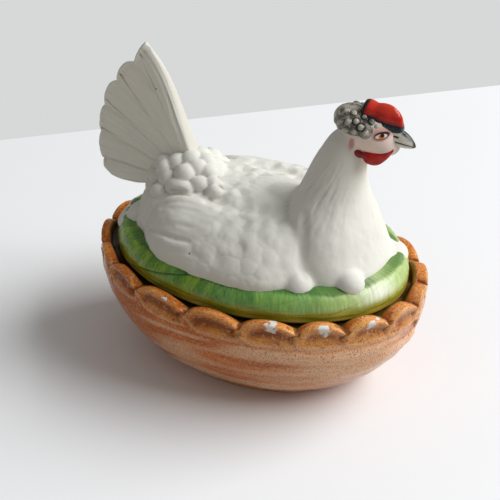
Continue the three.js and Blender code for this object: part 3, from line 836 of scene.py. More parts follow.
BACK_RISE = 32.0
NECK_RISE = 72.0
NECK_BASE = 33.0
NECK_TOP = 12.8
NECK_X = HEN_BASE[0] - 0.6 - NECK_BASE
NECK_Z = HEN_Z + NECK_RISE
WING_LENGTH = 118.0
WING_HEIGHT = 26.0
WING_BULGE = 22.0
HEAD = np.array([36.0, 23.5, 25.0])
HEAD_CENTRE = np.array([NECK_X + HEAD[0] * 0.33, 0.0, NECK_Z + HEAD[2] * 0.46])
FAN_CENTRE = np.array([-HEN_BASE[0] * 0.43, 0.0, HEN_Z + 17.0])
SWELL_CENTRE = np.array([-HEN_BASE[0] * 0.54, 0.0, FAN_CENTRE[2] - 2.8])
SWELL = np.array([28.0, 23.5, 28.0])
TOE_RADIUS = 9.0
OVERRUN = 10.0
HEN_VOXEL = 0.62

# The trunk: its height as a share of the back's; its length, width and way forward as shares of the base's
TRUNK_SHARES = [
    (0, 0.94, 0.93, -0.005),
    (0.2, 0.91, 0.89, -0.02),
    (0.45, 0.86, 0.79, -0.035),
    (0.66, 0.79, 0.67, -0.04),
    (0.82, 0.7, 0.52, -0.05),
    (0.93, 0.6, 0.34, -0.06),
    (0.985, 0.48, 0.17, -0.07),
]
# The neck: its height and how far its axis leans back, as shares of its rise; how full the section is, from
# the top's radius to the base's; and how broad it is for its length
NECK_SHARES = [
    (0, 0.035, 0.93, 1.34),
    (0.14, 0.05, 0.72, 1.5),
    (0.3, 0.085, 0.655, 1.42),
    (0.46, 0.111, 0.555, 1.24),
    (0.6, 0.1, 0.365, 1.12),
    (0.72, 0.086, 0.25, 1.05),
    (0.84, 0.064, 0.15, 1),
    (0.95, 0.035, 0.04, 1),
    (1.06, 0.005, -0.07, 1),
    (1.13, -0.02, -0.22, 1),
]
# How far forward and out each toe lies, as shares of the base
TOE_SHARES = [(0.55, -0.74), (0.85, -0.48), (0.3, 0.9), (0.57, 0.74)]
# Balls that fill the body out over the grass and under the nape: the middle, then the half sizes
SPREADS = [
    (-81, -10, 81.5, 13, 24, 6.5), (-74, -18, 84, 13, 12.5, 12), (77, 18, 82.5, 14, 19, 6),
    (20, 0, 109, 24, 17, 14.5), (-62, -28, 86, 11.5, 8.6, 12),
]


def trunk(inset, count, around):
    """The back and flanks, or with an inset the hollow inside them."""
    table = []
    for height, length, width, forward in spline(TRUNK_SHARES, count):
        a, b = HEN_BASE[0] * length - inset, max(HEN_BASE[1] * width - inset, inset / 2, 1)
        table.append((a, b, HEN_BASE[0] * forward, HEN_Z + BACK_RISE * height - inset))
    table.insert(0, (*table[0][:3], HEN_Z - OVERRUN))
    return loft(oval_rows(table, around))


def neck(inset, count, around, top=2.0):
    """The breast and neck up to a share of their rise, or with an inset the hollow inside them."""
    table = []
    for height, back, full, broad in spline(NECK_SHARES, count):
        if height > top:
            break
        radius = NECK_TOP + (NECK_BASE - NECK_TOP) * full - inset
        z = HEN_Z + NECK_RISE * height - inset
        table.append((radius, radius * broad, NECK_X - NECK_RISE * back, z))
    table.insert(0, (*table[0][:3], HEN_Z - OVERRUN))
    return loft(oval_rows(table, around))


def wing(side):
    """One folded wing: it leans in over the back, blunt at the shoulder and rounded off at the rear."""
    rear = -HEN_BASE[0] * 0.74
    t = circle(56)
    rows = []
    for step in np.linspace(0.04, 0.96, 60):
        along = (1 - math.cos(math.pi * step)) / 2
        x = rear + WING_LENGTH * along
        y = HEN_BASE[1] * 1.085 * math.sqrt(1 - (x / (HEN_BASE[0] * 1.03)) ** 2) - WING_BULGE
        short = max(0, 1 - along / 0.3, 1 - (1 - along) / 0.28)
        full = math.sqrt(1 - short**2)
        out = (np.cos(t) - 0.6 * np.maximum(0, np.sin(t))) * WING_BULGE * full
        up = np.sin(t) * WING_HEIGHT * full + HEN_Z + WING_HEIGHT * 0.1
        rows.append(columns(x, side * (y + out), up))
    points, faces = loft(rows)
    return points, (faces if side < 0 else [f[::-1] for f in faces])


# The round feathers over the tail's root, on the right side: each one's crown, half length and half height
PEBBLES = [
    (-56, -12.5, 129.5, 6.4, 6.2), (-46.5, -8, 133, 6.2, 6.0), (-38, -13.5, 129, 6.4, 6.0),
    (-44, -21, 126, 6.4, 6.0), (-63.5, -17, 124.5, 5.6, 5.2), (-70, -17.5, 116, 4.6, 4.2),
    (-57, -22.5, 119, 7.0, 6.0), (-73.5, -18, 108, 4.8, 4.8), (-61, -27.5, 110, 6.2, 5.0),
    (-44, -28, 117.5, 9.0, 5.6), (-31.5, -22, 120.5, 6.4, 5.2), (-30.5, -11.5, 127, 5.4, 5.0),
    (-24, -17, 121.5, 5.0, 4.4), (-19, -24, 118.5, 5.0, 4.0), (-37, -3, 131.5, 5.4, 5.0),
    (-71, -8, 123.5, 5.6, 5.2), (-77, -8, 114, 5.8, 5.4), (-78.5, -9, 103, 5.6, 5.6),
    (-72, -19, 98, 5.4, 5.4),
]
# Only the round feathers behind this X have mirror images, and those lie lower
MIRRORED_BEHIND = -42
MIRRORED_LOWER = 2

# Lines and spots on the right side of the body; the left side has their mirror images
WING_EDGE = [
    (-64.5, -38, 92), (-63, -37, 99), (-59, -34, 105.5),
    (-49, -33, 112.5), (-35, -33, 117.5), (-25, -32, 118.5),
]
WING_CREASE = [(-66, -37, 93), (-56, -45, 96), (-46, -51, 99), (-32, -57, 102), (-19, -59, 104)]
WING_PLUME = [(-50, -53, 93), (-38, -58, 97), (-26, -61, 100), (-19, -61, 101)]
SHOULDER = [(34, -30, 118), (39, -37, 110), (43, -42, 104), (46, -46, 97)]
WING_GROOVE = [(-69, -37, 94), (-66, -34, 102), (-61, -31, 109), (-50, -29, 115.5), (-36, -29, 118.5)]
BACK_HOLLOW = [(-20, -29, 117.5), (-8, -30, 118), (4, -29, 118.5)]
BREAST_CREASE = [(41, -29, 124), (44, -35, 115), (46, -39, 108), (48, -44, 101), (52, -47, 97)]
OVAL = (-8.0, -60.0, 104.0)
DIMPLES = [
    (9, -40, 114), (22, -44, 109), (13, -53, 105), (27, -53, 98), (22, -56, 94), (-3, -46, 115),
    (27, -30, 117), (-17, -8, 121), (-7, -14, 120), (-14, -25, 118), (4, -61, 98), (34, -39, 106),
    (-1, -22, 119), (-9, -34, 118), (-20, -14, 120), (12, -24, 118),
]
BUMPS = [
    (3, -50, 111), (9, -33, 116), (23, -36, 114), (32, -49, 101), (11, -61, 93), (15, -40, 113),
    (18, -50, 105), (29, -42, 109), (-12, -18, 119), (-21, -21, 119), (30, -54, 94), (1, -57, 106),
    (38, -46, 100), (-6, -40, 117),
]
# Each line or spot, how far it reaches and how far it moves the surface out
RELIEF = [
    (WING_CREASE, 2.8, -0.8), (WING_PLUME, 5.0, 0.55), (WING_EDGE, 4.5, 0.9), (WING_GROOVE, 3.4, -1.8),
    (SHOULDER, 9.0, 0.8), (BREAST_CREASE, 5.0, -1.1), (BACK_HOLLOW, 7.0, -1.3),
    *((spot, 6.5, -1.15) for spot in DIMPLES),
    *((spot, 6.5, 0.75) for spot in BUMPS),
]


def pebbles():
    """Every round feather: whether it is a mirror image, its crown, half length and half height."""
    for x, y, z, long, tall in PEBBLES:
        yield False, np.array([x, y, z]), long, tall
        if x < MIRRORED_BEHIND:
            yield True, np.array([x, -y, z]), long, tall


def hen_solids():
    solids = [trunk(0, 40, 160), neck(0, 70, 112), wing(-1), wing(1), ball(SWELL_CENTRE, SWELL, 72)]
    for mirrored, crown, long, tall in pebbles():
        if mirrored:
            crown[2] -= MIRRORED_LOWER
        out = (crown - SWELL_CENTRE) / SWELL**2
        out /= np.linalg.norm(out)
        solids.append(ball(crown - out * tall * 1.25, np.array([long, tall, tall]) * 1.25, 30))
    for forward, out in TOE_SHARES:
        centre = (HEN_BASE[0] * forward * 0.97, HEN_BASE[1] * out * 0.97, HEN_Z - TOE_RADIUS * 0.1)
        solids.append(ball(centre, (TOE_RADIUS * 1.05, TOE_RADIUS, TOE_RADIUS * 0.96), 32, 0.2))
    for x, y, z, long, wide, tall in SPREADS:
        solids.append(ball((x, y, z), (long, wide, tall), 48))
    solids.append(ball(HEAD_CENTRE, HEAD / 2, 64, 0.25))
    solids.append(ball(HEAD_CENTRE + (3, 0, -2.5), (16.5, 10.4, 9.5), 48, 0.3))
    return solids


def pebble_share(p):
    """1 on the round feathers and 0 away from them."""
    share = np.zeros(len(p))
    for _, crown, long, _ in pebbles():
        share = np.maximum(share, fall(long * 0.9, long * 1.35, np.linalg.norm(p - crown, axis=1)))
    return share


def body_relief(p, pebbly):
    """How far each point of the body moves out: the feathers' creases, dimples and strokes."""
    shift = np.zeros(len(p))
    right = columns(p[:, 0], -np.abs(p[:, 1]), p[:, 2])
    for path, radius, height in RELIEF:
        shift += height * brush(right, path, radius)
    shift += 0.5 * fall(0.5, 1.15, np.linalg.norm((right - OVAL) / (8.8, 6, 6.6), axis=1))
    x, out, z = p[:, 0], np.abs(p[:, 1]), p[:, 2]
    side = ease(14, 34, out) * fall(28, 42, x) * ease(-20, -6, x) * (1 - pebbly)
    shift += side * 0.7 * (lumps(p, 9.5, 11) - 0.5)
    flank = ease(20, 34, out) * fall(-14, 0, x) * (1 - pebbly)
    shift += flank * 0.36 * noise(p * (0.25, 1, 1), 3.2, 18)
    back = fall(18, 32, out) * ease(110, 115, z) * fall(-8, 6, x) * (1 - pebbly)
    shift += back * 0.7 * (lumps(p, 7.5, 12) - 0.5)

    axis_x = np.interp(z - HEN_Z, [0, 22, 43, 68, 82], [52, 49, 47, 52, 56])
    turn = np.arctan2(p[:, 1], x - axis_x)
    ribbed = columns(np.abs(turn) * 22 + 0.3 * z, z * 0.2, np.sign(turn))
    high = ease(104, 122, z) * fall(150, 158, z) * ease(12, 30, x)
    strokes = high * ease(0.7, 1.3, np.abs(turn)) * fall(2.6, 3.0, np.abs(turn))
    shift += strokes * (0.34 * noise(ribbed, 1.7, 14) + 0.16 * noise(ribbed, 4.5, 19))
    chest = ease(40, 48, x) * fall(120, 134, z) * ease(92, 98, z)
    shift += chest * 0.24 * noise(p * (1, 1, 0.6), 4.5, 15)
    return shift + 0.16 * noise(p, 11, 16) + 0.07 * noise(p, 2.6, 17)


def tucked(p):
    """The points with the body's sides drawn in towards the grass, so that the wings overhang it."""
    x, y, z = p.T
    radius = np.hypot(x / HEN_BASE[0], y / HEN_BASE[1])
    limit = 1.045 + 0.07 * ease(HEN_Z - 14, HEN_Z + 24, z)
    over = (radius - limit + np.hypot(radius - limit, 0.05)) / 2 * (z < HEN_Z + 60)
    over = over * fall(5, 60, x) * ease(25, 50, np.abs(y))
    return p * columns(1 - over / radius, 1 - over / radius, 1)


def hem_cutter(grown):
    """What lies under the grass, a little lowered, so that the pieces on it close against it."""
    dome = [(*(COVER + 4), COVER_Z - 20), *dome_rows(grown, 14)]
    return loft(oval_rows([(a, b, 0, z) for a, b, z in dome], 200))


def hen_piece():
    made = fused("hen_bisque", hen_solids(), HEN_VOXEL)
    p = points_of(made)
    x, _, z = p.T
    pebbly = pebble_share(p)
    toe = fall(HEN_Z + 10, HEN_Z + 18, z) * ease(20, 30, x)
    rear = fall(-40, -5, x)
    head = ease(148, 156, z)
    relax(made, np.full(len(p), 0.6), 2)
    relax(made, (1 - pebbly) * (1 - 0.45 * toe) * (1 - 0.93 * rear) * (1 - 0.6 * head), 50)
    p, n = points_of(made), normals_of(made)
    set_points(made, tucked(p) + n * body_relief(p, pebbly)[:, None])
    cut(made, *hem_cutter(-0.5))
    for tool in (trunk(COVER_WALL, 14, 60), neck(COVER_WALL, 24, 40, 0.8)):
        cut(made, *tool)
    # The creases and hollows, for the bisque's dirt and painted shade
    sharp, broad = hollowness(made, 2), hollowness(made, 9)
    give(made, crease=sharp * 0.5 + 0.5, hollow=broad * 0.5 + 0.5)
    return made


# The finish of the bisque, and the face painted on both sides of the head, in metres along X and Z

DULL_WHITE = (0.705, 0.70, 0.645)
FAIR_WHITE = (0.775, 0.775, 0.725)
EYE = (0.0774, 0.1738)
FACE_PATCH = (0.0735, 0.1695)


def bisque(name, lightness=1.0):
    """Matt white with painted shade in the hollows, creases darkened by dirt and painted shade, and a few
    pinholes.
    """
    paint = Paint(name, 0.72, bump=0.10, shine=0.3)
    crease, hollow = paint.read("crease", "hollow")
    cloud = paint.speckle(45, 3)
    grain = paint.speckle(900, 3)
    # A lightness above 1 paints light onto a piece that lies in shade
    dull, fair = (tuple(c * lightness for c in tone) for tone in (DULL_WHITE, FAIR_WHITE))
    pit = paint.band(paint.dots(70, "Distance"), 0.06, 0.03)
    rare = paint.band(paint.parts(paint.dots(70, "Color"))[0], 0.86, 0.87)
    colour = paint.lay(
        paint.mix(cloud, dull, fair),
        # Painted shade in the broad hollows
        (paint.band(hollow, 0.53, 0.85), (0.4, 0.36, 0.28), 0.6),
        # Dirt and painted shade in the sharp creases
        (paint.band(crease, 0.55, 0.8), (0.13, 0.105, 0.07), 0.85),
        (paint.times(pit, rare), (0.1, 0.09, 0.08), 0.75),
    )
    return paint, colour, grain


def plain_bisque(name, lightness):
    paint, colour, grain = bisque(name, lightness)
    return paint.finish(colour, grain)


def oval_share(paint, centre, radii, lean, soft):
    """1 within an oval on the side of the head and 0 outside it; its long axis leans up by `lean`."""
    x, _, z = paint.parts(paint.place)
    dx, dz = paint.math("SUBTRACT", x, centre[0]), paint.math("SUBTRACT", z, centre[1])
    c, s = math.cos(lean), math.sin(lean)
    along = paint.plus(paint.times(dx, c / radii[0]), paint.times(dz, s / radii[0]))
    across = paint.math("SUBTRACT", paint.times(dz, c / radii[1]), paint.times(dx, s / radii[1]))
    away = paint.math("SQRT", paint.plus(paint.math("POWER", along, 2), paint.math("POWER", across, 2)))
    return paint.band(away, 1 + soft, 1 - soft)


def painted_bisque(name):
    """The bisque with the painted face: a pink cheek and an eye under a dark lid."""
    paint, colour, grain = bisque(name)
    cheek = oval_share(paint, FACE_PATCH, (0.0145, 0.0098), 0.25, 0.28)
    rim = oval_share(paint, (0.0605, 0.1672), (0.0016, 0.0045), -0.1, 0.5)
    shade = oval_share(paint, (0.0768, 0.1762), (0.0054, 0.0026), 0.1, 0.5)
    outline = oval_share(paint, (0.0768, 0.1739), (0.0041, 0.0026), 0.2, 0.3)
    lid = oval_share(paint, (0.0773, 0.17445), (0.0036, 0.0020), 0.22, 0.12)
    white = oval_share(paint, (0.0771, 0.1740), (0.0029, 0.00125), 0.2, 0.10)
    iris = oval_share(paint, EYE, (0.0015, 0.0014), 0, 0.1)
    pupil = oval_share(paint, (EYE[0] + 0.0002, EYE[1] + 0.0007), (0.00105, 0.001), 0, 0.12)
    colour = paint.lay(
        colour,
        (paint.times(cheek, paint.band(paint.speckle(260, 2), 0.2, 0.5)), (0.97, 0.77, 0.71), 0.85),
        (rim, (0.5, 0.13, 0.11), 0.7),
        (shade, (0.55, 0.22, 0.19), 0.65),
        (outline, (0.42, 0.09, 0.07), 0.8),
        (lid, (0.05, 0.012, 0.01), 1),
        (white, (0.82, 0.83, 0.82), 1),
        (paint.times(iris, white), (0.75, 0.24, 0.02), 1),
        (paint.times(pupil, lid), (0.01, 0.01, 0.01), 1),
    )
    return paint.finish(colour, grain)


dress(hen_piece(), painted_bisque("bisque"), "cover", "bisque", "hen_body")


# The tail

FAN_FRONT = math.radians(110)
FAN_BACK = math.radians(186.5)
FAN_TURN = FAN_BACK - FAN_FRONT
FAN_CURL = math.radians(5.5)
TAIL_ROOT = 24.0
TAIL_THICKNESS = 13.0
TAIL_EDGE = 4.0
SCALLOP = 3.8
FRONT_CORNER = 2.4
FEATHER_STEP = 2.4
THINNEST_FEATHER = 1.0
# The fan's rear edge is drawn in past this X, and never reaches further beyond it than the second value
REAR_X = -108
REAR_REACH = 10.4

# How far out the feathers' tips reach, at shares of the way round the fan from its front edge
TIPS = [
    (0, 101), (0.1, 96.8), (0.21, 94.8), (0.4, 91.6), (0.57, 88.8),
    (0.74, 84.5), (0.9, 77), (0.95, 71), (0.98, 63), (1, 54),
]
# The notches between the feathers, as shares of the way round
NOTCH_SHARES = [0, 0.122, 0.297, 0.482, 0.652, 0.827, 1]
# Both ends of the short creases inside the feathers, as shares of the way round and out to the tips
VEIN_SHARES = [((0.30, 0.42), (0.335, 0.60)), ((0.10, 0.60), (0.13, 0.72)), ((0.20, 0.25), (0.215, 0.42))]


def doubled_loft(rows):
    """A closed surface over stacked rings that run out on one side and back on the other."""
    count, around, _ = rows.shape
    faces = [tuple(q) for q in grid_faces(count, around)]
    for start, turned in ((0, True), ((count - 1) * around, False)):
        for i in range(around // 2 - 1):
            j = around - 1 - i
            quad = (start + i, start + i + 1, start + j - 1, start + j)
            faces.append(quad[::-1] if turned else quad)
    return rows.reshape(-1, 3), faces


def tail_piece():
    """The fan: its outline, how thick it is at each share of the way round and out, and its two faces."""
    around, out_steps = 320, 150
    turn = np.linspace(0.0, 1.0, around)
    out = np.linspace(0.0, 1.0, out_steps)
    feather = np.clip(np.searchsorted(NOTCH_SHARES, turn, side="right") - 1, 0, len(NOTCH_SHARES) - 2)
    start, stop = np.array(NOTCH_SHARES)[feather], np.array(NOTCH_SHARES)[feather + 1]
    within = (turn - start) / (stop - start)
    cusp = np.where(feather == 0, within, np.abs(2 * within - 1))
    tips = np.interp(turn, *np.transpose(TIPS))
    reach = tips - SCALLOP * cusp**2.5
    thick = (TAIL_THICKNESS + (TAIL_EDGE * 1.3 - TAIL_THICKNESS) * turn**0.6) / 2
    way, outer = np.meshgrid(turn, out, indexing="ij")
    angle = FAN_FRONT + FAN_CURL * outer**4 + (FAN_TURN - FAN_CURL * outer**4) * way
    radius = TAIL_ROOT + (reach[:, None] - TAIL_ROOT) * outer
    half = thick[:, None] + (TAIL_EDGE / 2 - thick[:, None]) * outer**1.4
    at = FAN_CENTRE + columns(radius * np.cos(angle), 0, radius * np.sin(angle))

    # The feathers overlap: each one thickens across its width and drops to the next
    wander = 0.05 * noise(at, 22, 34) * (1 - outer)
    lap = np.clip(within[:, None] + wander, 0, 1)
    step = FEATHER_STEP * (lap**1.3 - 0.55) * np.minimum(1, outer * 2.5)
    lip_line = -1.1 * bell(within[:, None], 0.09) * np.minimum(1, outer * 2.5)
    lip_line = np.where(feather[:, None] == 0, 0, lip_line)
    edge_gap = (1 - outer) * reach[:, None]
    lip = 0.45 * bell(edge_gap - 1.4, 1.6) - 0.35 * bell(edge_gap - 6, 3.0)
    from_front = way * FAN_TURN * radius
    rib = 0.5 * bell(from_front - 5.4, 1.4) * ease(0.0, 0.3, outer) * fall(0.75, 1.0, outer)
    groove = -0.7 * bell(from_front - 3.2, 0.9) * ease(0.05, 0.25, outer) * fall(0.45, 0.65, outer)
    dish = -1.0 * ease(5, 16, from_front) * fall(0.4, 0.9, way) * np.sin(math.pi * outer) ** 0.7
    barbs = 0.28 * noise(columns(way * 80, outer * 2.0, 0), 1.0, 31) * ease(0.1, 0.4, outer)
    veins = np.zeros(way.shape)
    for (t0, o0), (t1, o1) in VEIN_SHARES:
        share = np.clip((outer - o0) / (o1 - o0), 0, 1)
        middle = t0 + (t1 - t0) * share**2
        inside = ease(o0 - 0.05, o0 + 0.02, outer) * fall(o1, o1 + 0.06, outer)
        gap = (way - middle) * FAN_TURN * radius
        veins += inside * (0.35 * bell(gap, 1.6) - 0.4 * bell(gap - 2.0, 1.0))
    half = half + step * 0.5 + lip_line + lip + groove + rib + dish + barbs + veins
    half = np.maximum(half + 0.25 * noise(at, 13, 32), THINNEST_FEATHER)
    half = half * np.clip(edge_gap / 1.5, 0, 1) ** 0.45 * np.clip((1 - way) * 30, 0, 1) ** 0.5

    # The front is a flat strip with small rounded corners
    half = half - FRONT_CORNER * (1 - np.sqrt(1 - np.clip(1 - from_front / FRONT_CORNER, 0, 1) ** 2))
    half = np.maximum(half, 0.25)
    past = np.clip(REAR_X - at[..., 0], 0, None)
    at[..., 0] += past - REAR_REACH * np.tanh(past / REAR_REACH)
    bow = 0.35 * noise(at, 30, 33) - 3.4 * ease(0.4, 0.75, way) * outer**2
    right, left = (columns(at[..., 0], bow + side * half, at[..., 2]) for side in (-1, 1))
    rows = np.concatenate([right, left[:, ::-1]], axis=1)
    made = make_object("tail_feathers", *doubled_loft(rows))
    cut(made, *hem_cutter(-0.5))
    n = normals_of(made)
    # How squarely each point faces forward: the front strip, which faces the window, gets painted shade
    strip = ease(0.6, 0.9, n[:, 0] * math.sin(FAN_FRONT) - n[:, 2] * math.cos(FAN_FRONT))
    p = points_of(made)
    place = (np.arctan2(p[:, 2] - FAN_CENTRE[2], p[:, 0] - FAN_CENTRE[0]) % TAU - FAN_FRONT) / FAN_TURN
    radius = np.hypot(p[:, 0] - FAN_CENTRE[0], p[:, 2] - FAN_CENTRE[2])
    # Painted shade where each feather laps over the next, added to the creases
    overlap = np.zeros(len(p))
    for notch in NOTCH_SHARES[1:-1]:
        gap = (place - notch) * FAN_TURN * radius
        overlap = np.maximum(overlap, ease(-1.6, 0.2, gap) * fall(0.2, 1.2, gap) * ease(30, 45, radius))
    overlap = overlap * (0.75 + 0.25 * noise(p, 9, 35))
    give(
        made,
        crease=hollowness(made, 4) * 0.5 + 0.5 + 0.2 * overlap,
        # The hollows, and painted shade across the front strip
        hollow=np.maximum(hollowness(made, 12) * 0.5 + 0.5, 0.74 * strip),
    )
    return made


# The tail's bisque is 1.17 times lighter: painted light on the face that turns away from the window
dress(tail_piece(), plain_bisque("tail_bisque", 1.17), "cover", "bisque", "tail_fan")


# The head's crest, comb, beak and wattles

def on_head(forward, up, y=0.0):
    """A place on the head: forward and up from its middle, as shares of its size."""
    return np.array([HEAD_CENTRE[0] + HEAD[0] * forward, y, HEAD_CENTRE[2] + HEAD[2] * up])


CREST = np.array([31.0, 27.5, 19.0])
CREST_CENTRE = on_head(-0.18, 0.13)
COMB = np.array([25.0, 15.0, 8.5])
BEAK = np.array([13.5, 9.0, 11.0])
WATTLE = np.array([26.5, 5.4, 9.2])
CREST_VOXEL = 0.3
BEAK_HIDDEN = 5

# The curls of the crest on the right side: forward and up from its middle as shares of its half length and
# half height, how large each is and how far it stands out
CURLS = [
    (-0.66, 0.62, 2.4, 0.9), (-0.36, 0.86, 2.4, 1.1), (-0.08, 0.90, 2.4, 1.2), (-0.46, 0.36, 2.5, 1.1),
    (-0.16, 0.48, 2.4, 1.3), (0.12, 0.62, 2.1, 1.4), (0.34, 0.86, 2.1, 1.7), (0.62, 0.62, 2.2, 1.8),
    (0.80, 0.34, 1.9, 1.8), (0.34, 0.36, 2.2, 1.4), (-0.22, 0.02, 2.4, 1.2), (0.14, 0.02, 2.4, 1.2),
    (-0.56, 0.02, 2.4, 0.9), (0.52, 0.06, 2.1, 1.2), (-0.72, 0.26, 2.2, 0.8),
]


# The comb along its length: how far along, how wide and how high, as shares of the whole
COMB_SHARES = [
    (0, 0.55, 0.5), (0.06, 0.8, 0.86), (0.18, 0.92, 1), (0.34, 0.86, 1.02), (0.5, 0.82, 1.2),
    (0.66, 0.74, 1.26), (0.82, 0.58, 1.12), (0.94, 0.42, 0.72), (1, 0.2, 0.2),
]


def crest_piece():
    front = ball(CREST_CENTRE + (6.2, 0, 0.2), np.array([10.4, 12.8, 8.0]), 48, 0.5)
    rear = ball(CREST_CENTRE + (-0.6, 0, 0.6), CREST / 2 - 0.4, 64, 0.3)
    made = fused("crest_curls", [rear, front], CREST_VOXEL)
    p, n = points_of(made), normals_of(made)
    place = (p - CREST_CENTRE) / (CREST / 2)
    shift = 0.3 * noise(p, 4, 61) - 0.1
    outline = np.zeros(len(p))
    for forward, up, size, high in CURLS:
        depth = math.sqrt(max(0.25, 1 - forward**2 - up**2))
        for side in (1, -1):
            at = CREST_CENTRE + np.array([forward, -side * depth, up]) * CREST / 2
            away = np.linalg.norm(p - at, axis=1) / size
            shift = np.maximum(shift, high * (1 - np.clip(away, 0, 1) ** 2) + 0.25 * shift)
            outline = np.maximum(outline, (high > 1.3) * bell(away - 1.05, 0.28))
    set_points(made, p + n * shift[:, None])
    give(
        made,
        crease=hollowness(made, 6) * 0.5 + 0.5,
        outline=outline,
        forward=place[:, 0],
        up=place[:, 2] + 0.25 * place[:, 0],
        raised=np.clip(shift, 0, 1.2),
    )
    return made


def crest_enamel():
    paint = Paint("crest_enamel", 0.13, bump=0.08, shine=0.45)
    crease, outline, raised, forward, up = paint.read("crease", "outline", "raised", "forward", "up")
    blots = paint.speckle(1.0, 3, paint.stretch(190))
    fine = paint.speckle(1.0, 3, paint.stretch(520), 0.6)
    top = paint.times(paint.band(forward, 0.25, 0.5), paint.band(up, 0.62, 0.85))
    wander = paint.times(paint.math("SUBTRACT", blots, 0.5), 0.5)
    colour = paint.lay(
        paint.two_tones(blots, 0.4, 0.6, (0.1, 0.09, 0.065), (0.34, 0.32, 0.265)),
        (paint.band(fine, 0.55, 0.68), (0.6, 0.59, 0.54), 0.6),
        # The raised curls are painted pale: white paint, with a painted highlight on each
        (paint.band(raised, 0.55, 0.95), (0.58, 0.565, 0.51), 0.65),
        # Painted shade in the creases between the curls
        (paint.band(crease, 0.52, 0.8), (0.07, 0.065, 0.05), 0.75),
        (paint.band(outline, 0.35, 0.75), (0.015, 0.015, 0.014), 0.92),
        (top, (0.02, 0.02, 0.019), 0.9),
        (paint.band(paint.plus(up, wander), -0.16, -0.32), (0.66, 0.64, 0.6), 1),
    )
    return paint.finish(colour, fine)


def comb_piece():
    back, front = on_head(-0.14, 0.46), on_head(0.56, 0.2)
    t = circle(96)
    rows = []
    for along, width, crown in spline(COMB_SHARES, 90):
        base = back + (front - back) * along
        base[0] = back[0] + COMB[0] * along
        up = np.sin(t) * COMB[2] * crown * np.where(np.sin(t) > 0, 1, 0.45)
        rows.append(columns(base[0], np.cos(t) * COMB[1] / 2 * width, base[2] + up))
    ends = [rows[0] * 0.3 + rows[0].mean(0) * 0.7 + (0.25, 0, 0), rows[-1] * 0.3 + rows[-1].mean(0) * 0.7]
    made = make_object("comb_cap", *loft([ends[0], *rows[1:-1], ends[1]]))
    p, n = points_of(made), normals_of(made)
    _, y, z = p.T
    level = (p - back) @ (front - back) / ((front - back) @ (front - back))
    above = z - (back + (front - back) * level[:, None])[:, 2]

    # A long hollow runs down each side between the crown and the lower fold, and a notch splits the fold
    beside = ease(1.5, 4.0, np.abs(y))
    hollow = bell(above - (3.4 - 1.6 * level), 1.1) * beside
    hollow = hollow * ease(0.05, 0.2, level) * fall(0.8, 0.95, level)
    notch = bell(level - 0.52, 0.04) * fall(0.5, 2.5, above) * beside
    shift = 0.25 * (lumps(p, 7, 41) - 0.5) + 0.18 * noise(p, 4, 42) - 0.9 * hollow - 0.7 * notch - 0.15
    set_points(made, p + n * shift[:, None])
    give(made, above=above, along=level, low=above + 0.7 * noise(p, 5, 43) - 0.8 * notch)
    return made


def red_enamel(name, darkened):
    paint = Paint(name, 0.09, bump=0.04, shine=0.25)
    patch = paint.speckle(160, 3)
    fine = paint.speckle(700, 2)
    red = paint.two_tones(patch, 0.35, 0.65, (0.4, 0.014, 0.01), (0.62, 0.027, 0.015))
    return paint.finish(darkened(paint, red), fine)


def comb_dark(paint, red):
    above, along, low = paint.read("above", "along", "low")
    fold = paint.times(paint.band(above, 2.4, 1.4), paint.band(along, 0.42, 0.56))
    glint = paint.times(paint.band(low, 1.5, 0.3), paint.band(paint.speckle(300, 2), 0.52, 0.64))
    return paint.lay(
        red,
        (paint.band(above, 5.0, 8.0), (0.62, 0.06, 0.03), 0.6),
        (fold, (0.45, 0.12, 0.1), 0.55),
        (paint.band(low, 2.5, 1.7), (0.01, 0.02, 0.026), 1),
        (glint, (0.16, 0.27, 0.3), 0.6),
        (paint.band(along, 0.12, 0.05), (0.02, 0.02, 0.022), 1),
    )


def beak_taper(real):
    """The beak's size as a share of its root's, at a share of its length."""
    return np.maximum(1 - np.minimum(real, 0.999) ** 2.2, 0.001) ** 0.7


def beak_piece():
    base = on_head(0.4, 0.0) - (BEAK_HIDDEN, 0, 0)
    length = BEAK[0] + BEAK_HIDDEN
    t = circle(72)
    rows = []
    for along in np.concatenate([np.linspace(0, 0.9, 60), [0.92, 0.94, 0.96, 0.975, 0.99, 0.998]]):
        real = max(0.0, (along * length - BEAK_HIDDEN) / BEAK[0])
        taper = beak_taper(real)
        y, z = np.cos(t), np.sin(t)
        y = y * (1 - 0.16 * bell(z + 0.22, 0.12))
        droop = BEAK[2] * 0.3 * real**2
        rows.append(columns(
            base[0] + length * along, y * BEAK[1] / 2 * taper, base[2] - droop + z * BEAK[2] / 2 * taper
        ))
    made = make_object("beak_horn", *loft(rows))
    p = points_of(made)
    real = np.clip((p[:, 0] - base[0] - BEAK_HIDDEN) / BEAK[0], 0, 1)
    middle = base[2] - BEAK[2] * 0.3 * real**2
    give(made, along=real, side=(p[:, 2] - middle) / (BEAK[2] / 2 * beak_taper(real) + 0.2))
    return made


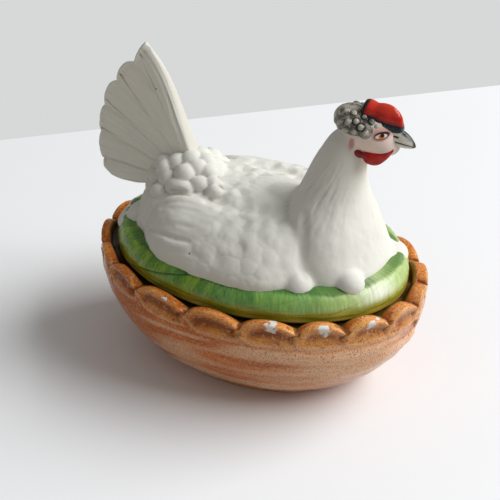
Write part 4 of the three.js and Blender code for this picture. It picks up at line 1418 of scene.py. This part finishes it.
def beak_enamel():
    paint = Paint("beak_enamel", 0.22, bump=0.05, shine=0.35)
    along, side = paint.read("along", "side")
    grain = paint.speckle(420, 3)
    shade = paint.times(paint.band(side, 0.15, 0.9), paint.band(along, 0.1, 0.8))
    ridge = paint.times(paint.band(side, 0.62, 0.85), paint.band(along, 0.22, 0.5))
    line = paint.times(paint.band(side, -0.33, -0.27), paint.band(side, -0.13, -0.19))
    slit = paint.times(paint.band(side, 0.22, 0.3), paint.band(side, 0.5, 0.42))
    slit = paint.times(slit, paint.times(paint.band(along, 0.06, 0.1), paint.band(along, 0.34, 0.28)))
    colour = paint.lay(
        paint.two_tones(grain, 0.35, 0.65, (0.68, 0.67, 0.61), (0.8, 0.79, 0.72)),
        (paint.band(along, 0.3, 0.05), (0.86, 0.8, 0.74), 1),
        (paint.band(side, -0.3, -0.5), (0.8, 0.79, 0.73), 0.8),
        (shade, (0.12, 0.115, 0.1), 0.75),
        (ridge, (0.015, 0.015, 0.016), 1),
        (paint.band(along, 0.84, 0.93), (0.02, 0.02, 0.022), 0.9),
        (line, (0.02, 0.017, 0.016), 1),
        (slit, (0.03, 0.025, 0.022), 1),
    )
    return paint.finish(colour, grain)


def wattle_piece(name, side):
    y = side * HEAD[1] * 0.33
    back, front = on_head(-0.26, -0.42, y), on_head(0.54, -0.22, side * HEAD[1] * 0.2)
    t = circle(56)
    rows = []
    for along in np.linspace(0.03, 0.985, 100):
        lobed = math.sin(math.pi * along**1.5) ** 0.6 - 0.3 * bell(along - 0.34, 0.06)
        at = back + (front - back) * along
        at[0] = back[0] + WATTLE[0] * along
        at[2] -= WATTLE[2] * 0.58 * math.sin(math.pi * along**1.35)
        at[1] += side * 1.4 * (1 - along)
        rows.append(at + columns(0, np.cos(t) * WATTLE[1] / 2 * lobed, np.sin(t) * WATTLE[2] / 2 * lobed))
    made = make_object(name, *loft(rows))
    p, n = points_of(made), normals_of(made)
    set_points(made, p + n * (0.18 * noise(p, 3.5, 51) - 0.1)[:, None])
    give(made, along=(p[:, 0] - back[0]) / WATTLE[0])
    return made


def wattle_dark(paint, red):
    along, = paint.read("along")
    return paint.lay(red, (paint.band(along, 0.42, 0.28), (0.13, 0.012, 0.012), 0.75))


dress(crest_piece(), crest_enamel(), "cover", "crest_enamel", "head_crest")
dress(comb_piece(), red_enamel("comb_red", comb_dark), "cover", "red_enamel", "comb")
dress(beak_piece(), beak_enamel(), "cover", "beak_enamel", "beak")
wattle_red = red_enamel("wattle_red", wattle_dark)
dress(wattle_piece("wattle_right", -1), wattle_red, "cover", "red_enamel", "right_wattle")
dress(wattle_piece("wattle_left", 1), wattle_red, "cover", "red_enamel", "left_wattle")
